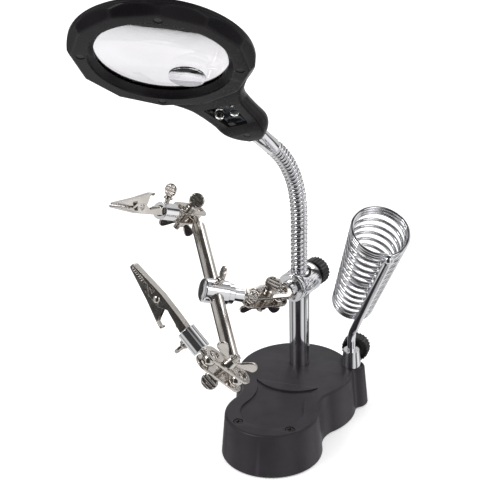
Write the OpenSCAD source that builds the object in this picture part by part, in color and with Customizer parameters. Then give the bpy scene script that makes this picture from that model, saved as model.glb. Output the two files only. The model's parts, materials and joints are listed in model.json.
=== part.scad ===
// Helping hands clamp: weighted base, post, jointed arm with two spring clips,
// magnifier on a gooseneck and a coil holder for a soldering iron.
// Origin: the underside of the base, below the post. +Z up, -Y to the front lobe.

/* [Base] */
// Height of the base's deck above the table
base_h = 25.5; // [22:0.5:32]
// Radius of the rear lobe at the deck
rear_r = 33.9; // [32:0.1:36]
// Radius of the front lobe at the deck
front_r = 26.2; // [25:0.1:28]
// Distance from the post to the front lobe's centre
front_reach = 58.1; // [56:0.1:62]
// Outward lean of the side walls at the table
base_draft = 2.3; // [0:0.1:3]
// Wall thickness of the base shell
base_wall = 2.6; // [2:0.1:3.5]

/* [Post and iron holder] */
// Outer diameter of the post
post_d = 12; // [11:0.5:12]
// Height of the post's top end
post_top = 86; // [84:1:90]
// Diameter of the iron holder's rod
iron_rod_d = 4.8; // [4:0.2:5]
// Length of the slanted part of the iron holder's rod
iron_rod_l = 85; // [80:1:88]
// Radius of the coil at its mouth, to the wire's middle
coil_mouth_r = 15.8; // [15:0.1:17]
// Radius of the coil at its closed-up lower end
coil_foot_r = 11.7; // [11:0.1:13]
// Diameter of the coil's wire
coil_wire_d = 2; // [1.6:0.1:2.2]

/* [Gooseneck and magnifier] */
// Outer diameter of the gooseneck
neck_d = 10; // [9:0.5:10]
// Compass direction in which the gooseneck leans
neck_azimuth = -112.2; // [-130:0.1:-100]
// Height at which the gooseneck starts to bend
neck_bend_z = 121.3; // [118:0.1:126]
// Radius of the gooseneck's bend
neck_bend_r = 59.35; // [55:0.05:64]
// Angle through which the gooseneck is bent
neck_bend_a = 50; // [40:1:55]
// Length of the end tube that shows below the handle
end_tube_l = 20.3; // [16:0.1:28]
// Distance from the handle's end to the lens's centre
head_reach = 88; // [84:1:94]
// Roll of the head about its handle
head_roll = 22.65; // [0:0.05:40]
// Radius of the lens opening
lens_r = 32; // [30:0.5:33]
// Radius over the corners of the head's flat rim
rim_r = 42.2; // [41.6:0.1:43]

/* [Arm, rest position] */
// Height of the post clamp's axis
clamp_z = 78.5; // [60:0.5:79]
// Angle of the post clamp about the post
clamp_azimuth = 17; // [0:1:40]
// Distance from the post to the first ball
clamp_reach = 20; // [19:0.5:23]
// Roll of the centre plates about the first stud
centre_roll = -27.5; // [-40:0.5:0]
// Swing of the centre plates on the first ball
centre_swing = -25.5; // [-40:0.5:20]
// Swing of the rod barrel on the second ball
centre_out = -41.5; // [-60:0.5:0]
// Roll of the rod in the rod barrel's plane
rod_roll = 273; // [260:1:285]
// Roll, tilt and swings of the upper plate clamp and its clip
upper_pose = [71, 7.5, 56.5, 59];
// Roll, tilt and swings of the lower plate clamp and its clip
lower_pose = [113, 0, 76, 44.5];

/* [Arm, sizes] */
// Distance between the two balls of a plate clamp
ball_pitch = 19; // [18:0.5:20]
// Radius of every joint ball
ball_r = 3.75; // [3.6:0.05:3.8]
// Diameter of the cross rod
rod_d = 8; // [7:0.5:8]
// Distance from the rod barrel to the upper ball, along the rod
rod_upper = 68.5; // [60:0.5:75]
// Distance from the rod barrel to the lower ball, along the rod
rod_lower = 66.5; // [60:0.5:75]
// Length of a spring clip from its socket to its tips
clip_l = 43; // [41:1:46]

/* [Hidden] */
$fn = 48;

fit = 0.05;            // radial running clearance of turning pieces
gap = 0.3;             // clearance between pieces that move past each other
charcoal = "#3a383c";
black = "#1c1c1e";
chrome = "#c9cbd0";
nickel = "#b9b1a6";
clear = "#dfe8ec";

// ---- vectors and frames ----
X = [1, 0, 0];
Y = [0, 1, 0];
Z = [0, 0, 1];
function unit(v) = v / norm(v);
function turn(v, k, a) = v * cos(a) + cross(k, v) * sin(a) + k * (k * v) * (1 - cos(a));
function square_to(v, k) = unit(v - k * (k * v));
// Puts children at p, with their Z along z and their X along x
module place(p, z, x) {
    y = cross(z, x);
    multmatrix([[x[0], y[0], z[0], p[0]], [x[1], y[1], z[1], p[1]], [x[2], y[2], z[2], p[2]]])
        children();
}

// ---- outline of the base ----
rear_c = [0, -9.3];
front_c = [0, -front_reach];
ear_c = [31.8, 5.7];
ear_r = 6.6;
waist_r = 20;          // concave radius between the front and rear lobes
ear_waist_r = 6;       // concave radius between the ear and the rear lobe
function angle_of(v) = atan2(v[1], v[0]);
// Centre of a concave arc of radius r that touches circles (a, ra) and (b, rb)
function waist(a, ra, b, rb, r, side) =
    let (d = norm(b - a), u = (b - a) / d, m = (pow(ra + r, 2) - pow(rb + r, 2) + d * d) / (2 * d),
        h = sqrt(pow(ra + r, 2) - m * m))
    a + u * m + [-u[1], u[0]] * h * side;
// Arcs leave out their last point, which is the next arc's first
function arc(c, r, a0, a1, n) = [for (i = [0:n - 1]) c + r * [cos(a0 + (a1 - a0) * i / n), sin(a0 + (a1 - a0) * i / n)]];
function bulge(c, r, from, to, n) =
    let (a0 = angle_of(from - c), a1 = angle_of(to - c)) arc(c, r, a0, a1 < a0 ? a1 + 360 : a1, n);
function dent(c, r, from, to, n) =
    let (a0 = angle_of(from - c), a1 = angle_of(to - c)) arc(c, r, a0, a1 > a0 ? a1 - 360 : a1, n);
right_waist = waist(rear_c, rear_r, front_c, front_r, waist_r, 1);
left_waist = waist(rear_c, rear_r, front_c, front_r, waist_r, -1);
ear_front = waist(rear_c, rear_r, ear_c, ear_r, ear_waist_r, -1);
ear_back = waist(rear_c, rear_r, ear_c, ear_r, ear_waist_r, 1);
// The base's outline, grown outwards by g
function outline(g) = concat(
    bulge(front_c, front_r + g, left_waist, right_waist, 24),
    dent(right_waist, waist_r - g, front_c, rear_c, 10),
    bulge(rear_c, rear_r + g, right_waist, ear_front, 8),
    dent(ear_front, ear_waist_r - g, rear_c, ear_c, 6),
    bulge(ear_c, ear_r + g, ear_front, ear_back, 10),
    dent(ear_back, ear_waist_r - g, ear_c, rear_c, 6),
    bulge(rear_c, rear_r + g, ear_back, left_waist, 26),
    dent(left_waist, waist_r - g, rear_c, front_c, 10));
// A closed solid through the outline at each [height, growth]
module loft(levels) {
    rings = [for (l = levels) [for (p = outline(l[1])) [p[0], p[1], l[0]]]];
    n = len(rings[0]);
    last = len(levels) - 1;
    polyhedron(
        points = [for (r = rings) each r],
        faces = concat([[for (i = [0:n - 1]) i]],
            [for (k = [0:last - 1]) for (i = [0:n - 1])
                let (j = (i + 1) % n) [k * n + i, (k + 1) * n + i, (k + 1) * n + j, k * n + j]],
            [[for (i = [0:n - 1]) last * n + n - 1 - i]]));
}

// ---- base ----
pad_t = 1.2;
plate_t = 1.6;
shell_z0 = 0.6;
weight_z0 = pad_t + plate_t + 0.2;
weight_top = 19;
post_z0 = 8;
deck_screw_x = 14.8;
deck_screw_y = -73;
collar_p = [30.5, 5.2];
collar_h = 10.3;
recess_d = 1;

// The recess follows the outline round the front lobe and ends at an arc about the rear lobe
recess_in = -8.5;
recess_r = 25;
horn_y = -26.5;
module recess_shape() {
    rim = outline(recess_in);
    half = floor(len(rim) / 2);
    horn_a = asin((horn_y - rear_c[1]) / recess_r);
    polygon(concat(
        [for (i = [0:half]) if (rim[i][1] < horn_y) rim[i]],
        arc(rear_c, recess_r, horn_a, -180 - horn_a, 16),
        [rear_c + recess_r * [-cos(horn_a), sin(horn_a)]],
        [for (i = [half + 1:len(rim) - 1]) if (rim[i][1] < horn_y) rim[i]]));
}
module base_shell() {
    color(charcoal) difference() {
        loft([[shell_z0, base_draft], [base_h - 1.4, 0.1], [base_h - 0.6, -0.3], [base_h - 0.15, -0.9],
            [base_h, -1.6]]);
        difference() {
            union() {
                // rebate that the bottom plate sits in, and the cavity above it
                linear_extrude(pad_t + plate_t + 0.1) polygon(outline(base_draft - base_wall));
                translate([0, 0, pad_t + plate_t]) linear_extrude(base_h - 3 - pad_t - plate_t)
                    polygon(outline(0.1 - base_wall));
            }
            translate([0, 0, 14]) cylinder(r = post_d / 2 + 3, h = 20);
            translate([collar_p[0], collar_p[1], 12]) cylinder(r = 8.5, h = 20);
            for (s = [-1, 1])
                translate([s * deck_screw_x, deck_screw_y, pad_t + plate_t + 0.1]) cylinder(r = 3.2, h = 30);
        }
        translate([0, 0, -1]) cylinder(r = post_d / 2 + 0.03, h = 60, $fn = 72);
        translate([collar_p[0], collar_p[1], 13.9]) cylinder(r = 3.23, h = 40);
        for (s = [-1, 1]) translate([s * deck_screw_x, deck_screw_y, 0]) {
            translate([0, 0, 8]) cylinder(r = 1.5, h = 40);
            translate([0, 0, base_h - 2.2]) cylinder(r = 2.7, h = 10);
        }
        translate([0, 0, base_h - recess_d]) linear_extrude(10) recess_shape();
    }
}
module deck_screws() {
    color(black) for (s = [-1, 1]) translate([s * deck_screw_x, deck_screw_y, 0]) {
        translate([0, 0, 9]) cylinder(r = 1.45, h = base_h - 2.2 - 9);
        translate([0, 0, base_h - 2.2]) difference() {
            cylinder(r1 = 2.6, r2 = 2.3, h = 1.9);
            for (a = [0, 90]) rotate(a) translate([-1.5, -0.35, 0.9]) cube([3, 0.7, 2]);
        }
    }
}
module base_weight() {
    color("dimgray") difference() {
        union() {
            translate([rear_c[0], rear_c[1], weight_z0]) cylinder(r = 28, h = weight_top - weight_z0 - 6, $fn = 96);
            translate([rear_c[0], rear_c[1], weight_z0]) cylinder(r = 17, h = 8, $fn = 96);
        }
        translate([0, 0, post_z0]) cylinder(r = post_d / 2 + 0.03, h = 30, $fn = 72);
        translate([0, 0, 0]) cylinder(r = 3.1, h = 30);
        translate([0, 0, 0]) cylinder(r = 6, h = 6);
        translate([collar_p[0], collar_p[1], 0]) cylinder(r = 9, h = 30);
    }
}
module bottom_plate() {
    color(black) translate([0, 0, pad_t]) linear_extrude(plate_t) difference() {
        polygon(outline(base_draft - base_wall - 0.5));
        for (s = [-1, 1]) translate([s * deck_screw_x, deck_screw_y]) circle(r = 1);
    }
}
module anti_slip_pad() {
    color("#101010") linear_extrude(pad_t) polygon(outline(base_draft - base_wall - 0.5));
}
module battery_cells() {
    color("silver") for (s = [-1, 1])
        translate([s * 5.6, -78.7, weight_z0 + 5.4]) rotate([-90, 0, 0]) {
            cylinder(r = 5.2, h = 40);
            translate([0, 0, 39.9]) cylinder(r = 1.9, h = 1.2);
        }
}

// ---- post ----
module post_tube() {
    color(chrome) difference() {
        translate([0, 0, post_z0]) cylinder(r = post_d / 2, h = post_top - post_z0, $fn = 72);
        translate([0, 0, post_z0 + 14]) cylinder(r = neck_d / 2 - 0.2, h = 100);
        translate([0, 0, post_z0 - 1]) cylinder(r = 3, h = 14);
    }
}
module post_bolt() {
    color("gray") {
        translate([0, 0, 3.2]) cylinder(r = 5, h = 2.8, $fn = 6);
        translate([0, 0, 5.9]) cylinder(r = 3, h = 13);
    }
}

// ---- iron holder ----
iron_screw_z = base_h + 5.6;
iron_bend_z = 46;
function heading(azimuth, slope) =
    [cos(azimuth) * cos(slope), sin(azimuth) * cos(slope), sin(slope)];
iron_dir = heading(-55, 54.2);
iron_bend_p = [collar_p[0], collar_p[1], iron_bend_z];
iron_end_p = iron_bend_p + iron_dir * iron_rod_l;
// The coil is a cone that leans on the rod; coil_up points from the rod's end to its axis
coil_dir = heading(-57.2, 56.2);
coil_up = turn(square_to(Z, coil_dir), coil_dir, -5);
coil_len = 76.4;
coil_off = coil_mouth_r + coil_wire_d / 2 + iron_rod_d / 2 + 0.15;
coil_foot_p = iron_end_p + coil_up * coil_off - coil_dir * coil_len;

module iron_collar() {
    color(chrome) difference() {
        translate([collar_p[0], collar_p[1], 0]) {
            translate([0, 0, base_h]) cylinder(r1 = 5.9, r2 = 4.7, h = collar_h);
            translate([0, 0, 14]) cylinder(r = 3.2, h = 14);
        }
        translate([collar_p[0], collar_p[1], 15.5]) cylinder(r = iron_rod_d / 2 + fit, h = 40);
        translate([collar_p[0], collar_p[1], iron_screw_z]) rotate([-90, 0, 0]) cylinder(r = 1.5 + fit, h = 20);
    }
}
module iron_rod() {
    color(chrome) {
        translate([collar_p[0], collar_p[1], 16]) cylinder(r = iron_rod_d / 2, h = iron_bend_z - 16);
        translate(iron_bend_p) sphere(r = iron_rod_d / 2);
        place(iron_bend_p, iron_dir, square_to(Z, iron_dir)) cylinder(r = iron_rod_d / 2, h = iron_rod_l);
    }
}
// Height along the coil and angle for a share t of its length: open turns in
// the middle and closed-up turns at both ends
coil_turns = 16;
end_turns = 2.5;
function coil_rise(q) =
    q < end_turns ? q * coil_wire_d * 1.05 :
    q > coil_turns - end_turns ? coil_len - (coil_turns - q) * coil_wire_d * 1.05 :
    let (lo = end_turns * coil_wire_d * 1.05, t = (q - end_turns) / (coil_turns - 2 * end_turns))
        lo + t * (coil_len - 2 * lo);
function coil_point(q) =
    let (z = coil_rise(q), r = coil_foot_r + (coil_mouth_r - coil_foot_r) * z / coil_len)
        [r * cos(360 * q + 180), r * sin(360 * q + 180), z];
// A round bar swept through the points, one ring square to the path at each
module sweep(path, r, sides) {
    n = len(path);
    rings = [for (i = [0:n - 1])
        let (t = unit(path[min(i + 1, n - 1)] - path[max(i - 1, 0)]), u = unit(cross(t, Z)), v = cross(u, t))
            [for (k = [0:sides - 1]) path[i] + r * (u * cos(360 * k / sides) + v * sin(360 * k / sides))]];
    polyhedron(
        points = [for (g = rings) each g],
        faces = concat([[for (k = [0:sides - 1]) sides - 1 - k]],
            [for (i = [0:n - 2]) for (k = [0:sides - 1])
                let (m = (k + 1) % sides)
                    [i * sides + k, i * sides + m, (i + 1) * sides + m, (i + 1) * sides + k]],
            [[for (k = [0:sides - 1]) (n - 1) * sides + k]]));
}
module iron_coil() {
    steps = 24;
    color(chrome) {
        place(coil_foot_p, coil_dir, coil_up)
            sweep([for (i = [0:coil_turns * steps]) coil_point(i / steps)], coil_wire_d / 2, 6);
        // bead that joins the last turn to the rod's end
        place(iron_end_p, iron_dir, square_to(coil_up, iron_dir)) difference() {
            translate([0, 0, 0.5]) sphere(r = 3.1);
            translate([0, 0, -5]) cylinder(r = iron_rod_d / 2 + 0.02, h = 5.02);
        }
    }
}
module knob(r, h, teeth) {
    difference() {
        cylinder(r = r, h = h);
        for (i = [0:teeth - 1]) rotate(i * 360 / teeth)
            translate([r + 0.35, 0, -1]) cylinder(r = 0.8, h = h + 2, $fn = 16);
    }
}
module iron_knob() {
    color(black) translate([collar_p[0], collar_p[1] + iron_rod_d / 2 + fit, iron_screw_z]) rotate([-90, 0, 0]) {
        cylinder(r = 1.5, h = 8);
        translate([0, 0, 4.2]) cylinder(r = 4.2, h = 2);
        translate([0, 0, 6]) knob(8.2, 8, 24);
    }
}

// ---- gooseneck ----
neck_n = 5;
neck_z0 = post_top + 3;
neck_lean = [cos(neck_azimuth), sin(neck_azimuth), 0];
neck_straight = neck_bend_z - neck_z0;
neck_len = neck_straight + neck_bend_r * neck_bend_a * PI / 180;
function neck_point(s) =
    s < neck_straight ? [0, 0, neck_z0 + s] :
    let (a = (s - neck_straight) / neck_bend_r * 180 / PI)
        neck_lean * neck_bend_r * (1 - cos(a)) + [0, 0, neck_bend_z + neck_bend_r * sin(a)];
neck_pivots = [for (i = [0:neck_n]) neck_point(neck_len * i / neck_n)];
neck_side = cross(Z, neck_lean);
tube_dir = neck_lean * sin(neck_bend_a) + Z * cos(neck_bend_a);
neck_end_gap = 1.2;
neck_ball = 3.4;

module gooseneck_link(i) {
    a = neck_pivots[i - 1];
    b = neck_pivots[i];
    l = norm(b - a);
    color(chrome) place(a, unit(b - a), neck_side) difference() {
        union() {
            translate([0, 0, neck_end_gap]) cylinder(r = neck_d / 2, h = l - 2 * neck_end_gap);
            sphere(r = neck_ball);
        }
        translate([0, 0, l]) sphere(r = neck_ball + fit);
    }
}
module gooseneck_ferrule() {
    color(chrome) difference() {
        translate([0, 0, neck_z0 - 12]) cylinder(r = neck_d / 2 - 0.2, h = 12 - neck_end_gap);
        translate([0, 0, neck_z0]) sphere(r = neck_ball + fit);
    }
}
tube_in = 14;          // length of the end tube inside the handle
tube_r = 4.6;
module end_tube() {
    color(chrome) place(neck_pivots[neck_n], tube_dir, neck_side) {
        sphere(r = neck_ball);
        translate([0, 0, neck_end_gap]) cylinder(r = tube_r, h = end_tube_l + tube_in - neck_end_gap);
    }
}

// ---- magnifier head, in a frame with X from the handle to the lens and Z out of its top ----
head_up0 = cross(tube_dir, neck_side);
head_up = turn(unit(head_up0[2] > 0 ? head_up0 : -head_up0), tube_dir, head_roll);
handle_p = neck_pivots[neck_n] + tube_dir * end_tube_l;
lens_p = handle_p + tube_dir * head_reach;
rim_z = -5.4;
rim_turn = 3;          // angle of the rim's first corner
body_r = 44.3;         // round body between the rim and the bezel
flat_lean = 0.69;      // outward lean of the rim's twelve flats
plateau_z = -3.8;      // flat underside of the handle, a step above the rim
handle_top = 5;
lens_edge_r = 34;
led_x = -59.5;
led_y = 4.4;
switch_x = -68.7;
handle_screw_x = -80;
screw_circle_r = 37.5;
screw_angles = [33:90:303];
module in_head() {
    place(lens_p, head_up, tube_dir) children();
}
// The handle's outline, shrunk by g: a wide tongue with a round end
module handle_shape(g) {
    hull() {
        translate([-40, 0]) circle(r = 17 - g);
        translate([14 - head_reach, 0]) circle(r = 14 - g);
    }
}
module handle_hollow() {
    hull() {
        translate([-53, 0]) circle(r = 9);
        translate([-66, 0]) circle(r = 7.6);
    }
}
module tube_bore() {
    translate([-head_reach - 1, 0, 0]) rotate([0, 90, 0]) cylinder(r = tube_r + fit, h = tube_in + 1.5);
}
module head_lower_shell() {
    color(charcoal) in_head() difference() {
        union() {
            intersection() {
                translate([0, 0, rim_z]) rotate(rim_turn)
                    cylinder(r1 = rim_r, r2 = rim_r - flat_lean * rim_z, h = -rim_z, $fn = 12);
                translate([0, 0, rim_z]) cylinder(r = body_r, h = -rim_z - 0.05, $fn = 96);
            }
            translate([0, 0, plateau_z]) linear_extrude(-plateau_z - 0.05) handle_shape(0);
            // thicker tail around the end tube
            translate([11.5 - head_reach, 0, -5.5]) cylinder(r1 = 8.5, r2 = 11, h = 3);
        }
        translate([0, 0, rim_z - 0.1]) cylinder(r1 = lens_r + 2.6, r2 = lens_r - 0.4, h = -rim_z - 1.4);
        translate([0, 0, -1.55]) cylinder(r = lens_edge_r + 0.2, h = 5);
        translate([0, 0, -10]) cylinder(r = lens_r - 0.5, h = 20);
        // window for the lamps and the switch, and the hollow above it
        translate([0, 0, rim_z - 1]) linear_extrude(5)
            polygon([[-50.5, -9], [-50.5, 9], [-70.5, 6.3], [-70.5, -6.3]]);
        translate([0, 0, -1.8]) linear_extrude(5) handle_hollow();
        tube_bore();
        translate([handle_screw_x, 0, -20]) cylinder(r = 2, h = 15.5);
        for (a = screw_angles) rotate(a) translate([screw_circle_r, 0, rim_z - 1]) {
            cylinder(r = 1.2, h = 10);
            cylinder(r = 2.1, h = 2.4);
        }
    }
}
module head_upper_shell() {
    color(charcoal) in_head() difference() {
        union() {
            rotate_extrude($fn = 96) polygon([[lens_r - 0.5, 0.05], [body_r, 0.05], [body_r, 1.8],
                [body_r - 0.7, 2.7], [42, 3.3], [38, 4.6], [34.5, 5], [lens_r - 0.5, 3]]);
            translate([0, 0, 0.05]) linear_extrude(2.15) handle_shape(0);
            translate([0, 0, 2.2]) linear_extrude(1.6) handle_shape(1.2);
            translate([0, 0, 3.8]) linear_extrude(handle_top - 3.8) handle_shape(3.4);
            translate([11.5 - head_reach, 0, 2.6]) cylinder(r1 = 11, r2 = 8.5, h = 3);
        }
        translate([0, 0, 3]) cylinder(r1 = lens_r - 0.5, r2 = lens_r + 4, h = 3.6);
        translate([0, 0, -3]) cylinder(r = lens_r - 0.5, h = 20);
        translate([0, 0, -5]) cylinder(r = lens_edge_r + 0.2, h = 6.6);
        translate([0, 0, -1]) linear_extrude(4.8) handle_hollow();
        tube_bore();
        for (a = screw_angles) rotate(a) translate([screw_circle_r, 0, -1]) cylinder(r = 1, h = 4);
    }
}
// Half-section of a biconvex lens of radius r: sag above and below its flat edge
function lens_section(r, sag, edge) = concat(
    [for (i = [0:8]) [r * i / 8, -edge - sag * (1 - pow(i / 8, 2))]],
    [for (i = [8:-1:0]) [r * i / 8, edge + sag * (1 - pow(i / 8, 2))]]);
module lens() {
    color(clear, 0.4) in_head() rotate_extrude($fn = 96) polygon(lens_section(lens_edge_r, 2, 0.8));
}
module insert_lens() {
    color(clear, 0.5) in_head() translate([-18, 3, -3.6]) rotate_extrude() polygon(lens_section(9, 0.6, 0.5));
}
module head_screws() {
    color(black) in_head() {
        for (a = screw_angles) rotate(a) translate([screw_circle_r, 0, rim_z + 0.3]) {
            cylinder(r = 1.95, h = 1);
            cylinder(r = 0.95, h = 7.4);
        }
        translate([handle_screw_x, 0, -5.2]) cylinder(r = 1.9, h = 0.5);
    }
}
module leds() {
    color(clear, 0.8) in_head() for (s = [-1, 1]) translate([led_x, s * led_y, 0.2]) {
        translate([0, 0, -0.9]) cylinder(r = 2.8, h = 1);
        translate([0, 0, -3]) cylinder(r = 2.4, h = 3);
        translate([0, 0, -3]) sphere(r = 2.4);
    }
}
// Board over the lamps with the switch's housing on its underside
module led_board() {
    color("#202428") in_head() difference() {
        union() {
            translate([-70, -5.5, 0.35]) cube([14.5, 11, 1.4]);
            translate([-70, -4.7, -2.7]) cube([5.8, 9.4, 3.1]);
        }
        translate([switch_x - 0.3, -3.8, -4]) cube([3.6, 7.6, 2.8]);
    }
}
module slide_switch() {
    color(black) in_head() translate([switch_x, -3.5, -4.7]) cube([3, 3.5, 3.2]);
}

// ---- arm chain: each ball, stud direction and plate normal follows from the one before ----
clamp_p = [0, 0, clamp_z];
clamp_dir = [-sin(clamp_azimuth), -cos(clamp_azimuth), 0];
ball_1 = clamp_p + clamp_dir * clamp_reach;
centre_n = turn(Z, clamp_dir, centre_roll);
centre_x = turn(clamp_dir, centre_n, centre_swing);
ball_2 = ball_1 + centre_x * ball_pitch;
barrel_dir = turn(clamp_dir, centre_n, centre_out);
rod_off = 23;          // from the second ball to the rod
rod_p = ball_2 + barrel_dir * rod_off;
rod_dir = turn(centre_n, barrel_dir, rod_roll);
function plate_normal(s, pose) =
    unit(turn(barrel_dir, s, pose[0]) * cos(pose[1]) + s * sin(pose[1]));
function plate_x(s, n, pose) = turn(square_to(s, n), n, pose[2]);
function clip_dir(s, n, pose) = turn(square_to(s, n), n, pose[3]);
// The directions of the studs that leave the rod's two balls point along the rod
upper_s = rod_dir;
upper_a = rod_p - rod_dir * rod_upper;
upper_n = plate_normal(upper_s, upper_pose);
upper_x = plate_x(upper_s, upper_n, upper_pose);
upper_b = upper_a + upper_x * ball_pitch;
upper_o = clip_dir(upper_s, upper_n, upper_pose);
lower_s = -rod_dir;
lower_a = rod_p + rod_dir * rod_lower;
lower_n = plate_normal(lower_s, lower_pose);
lower_x = plate_x(lower_s, lower_n, lower_pose);
lower_b = lower_a + lower_x * ball_pitch;
lower_o = clip_dir(lower_s, lower_n, lower_pose);

// ---- post clamp ----
clamp_r = 8.8;
clamp_front = 9.5;
clamp_back = 11.5;
bush_wall = 0.9;
stud_hole_r = 1.5;
stud_reach = 6;        // from a ball to the face its stud is screwed into

module clamp_bush() {
    color(black) translate([0, 0, clamp_z - 6]) difference() {
        cylinder(r = post_d / 2 + bush_wall, h = 12);
        translate([0, 0, -1]) cylinder(r = post_d / 2 + fit, h = 20);
    }
}
module clamp_barrel() {
    color(chrome) difference() {
        place(clamp_p, clamp_dir, Z) {
            translate([0, 0, -clamp_back]) cylinder(r = clamp_r - 0.8, h = clamp_back + clamp_front, $fn = 72);
            translate([0, 0, -clamp_back + 1]) cylinder(r = clamp_r, h = clamp_back + 4, $fn = 72);
            translate([0, 0, 6.5]) cylinder(r = clamp_r, h = clamp_front - 7.2, $fn = 72);
            cylinder(r = 5, h = clamp_reach - stud_reach);
        }
        translate([0, 0, clamp_z - 30]) cylinder(r = post_d / 2 + bush_wall + fit, h = 60);
        place(clamp_p, clamp_dir, Z) {
            translate([0, 0, -40]) cylinder(r = 2 + fit, h = 36);
            translate([0, 0, clamp_reach - stud_reach - 5.2]) cylinder(r = stud_hole_r + fit, h = 20);
        }
    }
}
module clamp_knob() {
    color(black) place(clamp_p, -clamp_dir, Z) {
        translate([0, 0, post_d / 2 + bush_wall + fit]) cylinder(r = 2, h = 8);
        translate([0, 0, clamp_back + gap]) cylinder(r = 5, h = 3);
        translate([0, 0, clamp_back + 2.4]) knob(8.2, 8, 24);
    }
}

// ---- ball studs: the ball's centre is at the origin and the shank runs along Z ----
module ball_stud(neck) {
    sphere(r = ball_r);
    cylinder(r = 1.5, h = neck + 4.8);
}
rod_neck = 9;          // from a rod-end ball to the rod's end face
module centre_stud_post() {
    color(nickel) place(ball_1, -clamp_dir, centre_n) ball_stud(stud_reach);
}
module centre_stud_rod() {
    color(nickel) place(ball_2, barrel_dir, centre_n) ball_stud(stud_reach);
}
module upper_stud_rod() {
    color(nickel) place(upper_a, upper_s, square_to(upper_n, upper_s)) ball_stud(rod_neck);
}
module upper_stud_clip() {
    color(nickel) place(upper_b, upper_o, upper_n) ball_stud(stud_reach);
}
module lower_stud_rod() {
    color(nickel) place(lower_a, lower_s, square_to(lower_n, lower_s)) ball_stud(rod_neck);
}
module lower_stud_clip() {
    color(nickel) place(lower_b, lower_o, lower_n) ball_stud(stud_reach);
}

// ---- plate clamps: origin midway between the balls, X along the plates, Z along the screw ----
plate_in = 2.9;        // from the middle plane to a plate's inner face
plate_w = 11;
plate_thick = 1.2;
dimple_r = 2.5;
wing_screw_r = 1.9;
module plates() {
    for (s = [0, 1]) mirror([0, 0, s]) translate([0, 0, plate_in]) difference() {
        union() {
            translate([-ball_pitch / 2, -plate_w / 2, 0]) cube([ball_pitch, plate_w, plate_thick]);
            for (e = [-1, 1]) translate([e * ball_pitch / 2, 0, 0]) cylinder(r = plate_w / 2, h = plate_thick);
        }
        for (e = [-1, 1]) translate([e * ball_pitch / 2, 0, -1]) cylinder(r = dimple_r, h = 5);
        translate([0, 0, -1]) cylinder(r = wing_screw_r + 0.1, h = 5);
    }
}
plate_out = plate_in + plate_thick;
// Screw with a ribbed thumb disc above the plates
module thumb_disc(r) {
    rotate([0, 90, 0]) translate([0, 0, -0.8]) cylinder(r = r, h = 1.6);
    for (k = [-1:1]) translate([-1.2, 0.7 - r, k * r / 2 - 0.4]) cube([2.4, 2 * r - 1.4, 0.8]);
}
module wing_screw() {
    translate([0, 0, -11.5]) cylinder(r = wing_screw_r, h = 11.5 + plate_out);
    translate([0, 0, plate_out + 0.05]) cylinder(r = 3.4, h = 2.2);
    translate([0, 0, plate_out + 6.2]) thumb_disc(4.6);
}
module wing_nut() {
    ear_y = 1.6;
    difference() {
        union() {
            translate([0, 0, -plate_out - 4.4]) cylinder(r1 = 3, r2 = 3.8, h = 4.3);
            for (s = [0, 1]) mirror([s, 0, 0]) rotate([90, 0, 0]) translate([0, 0, -ear_y / 2])
                linear_extrude(ear_y) hull() {
                    translate([3, -plate_out - 2.9]) circle(r = 1.2, $fn = 24);
                    translate([10, -plate_out - 6.6]) circle(r = 3.2, $fn = 24);
                }
        }
        translate([0, 0, -20]) cylinder(r = wing_screw_r + fit, h = 30);
    }
}
centre_mid = (ball_1 + ball_2) / 2;
upper_mid = (upper_a + upper_b) / 2;
lower_mid = (lower_a + lower_b) / 2;
centre_nut_turn = -6;
upper_nut_turn = -25;
lower_nut_turn = 0;
module centre_plates() {
    color(nickel) place(centre_mid, centre_n, centre_x) plates();
}
module centre_wing_screw() {
    color(nickel) place(centre_mid, centre_n, centre_x) rotate(50) wing_screw();
}
module centre_wing_nut() {
    color(nickel) place(centre_mid, centre_n, centre_x) rotate(centre_nut_turn) wing_nut();
}
module upper_plates() {
    color(nickel) place(upper_mid, -upper_n, upper_x) plates();
}
module upper_wing_screw() {
    color(nickel) place(upper_mid, -upper_n, upper_x) rotate(20) wing_screw();
}
module upper_wing_nut() {
    color(nickel) place(upper_mid, -upper_n, upper_x) rotate(upper_nut_turn) wing_nut();
}
module lower_plates() {
    color(nickel) place(lower_mid, -lower_n, lower_x) plates();
}
module lower_wing_screw() {
    color(nickel) place(lower_mid, -lower_n, lower_x) rotate(-63) wing_screw();
}
module lower_wing_nut() {
    color(nickel) place(lower_mid, -lower_n, lower_x) rotate(lower_nut_turn) wing_nut();
}

// ---- rod barrel and cross rod ----
barrel_r = 7;
barrel_end = rod_off + 8;
rod_screw_dir = cross(barrel_dir, rod_dir);
module rod_barrel() {
    color(chrome) difference() {
        place(ball_2, barrel_dir, centre_n) {
            translate([0, 0, stud_reach]) cylinder(r = 3.7, h = 10);
            translate([0, 0, 12.5]) cylinder(r = 5.9, h = barrel_end - 12.5, $fn = 72);
            translate([0, 0, 16]) cylinder(r = barrel_r, h = barrel_end - 16.8, $fn = 72);
        }
        place(ball_2, barrel_dir, centre_n) translate([0, 0, 1]) cylinder(r = stud_hole_r + fit, h = 10.2);
        place(rod_p - rod_dir * 20, rod_dir, barrel_dir) cylinder(r = rod_d / 2 + fit, h = 40);
        place(rod_p, rod_screw_dir, rod_dir) cylinder(r = 1.5 + fit, h = 20);
    }
}
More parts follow.
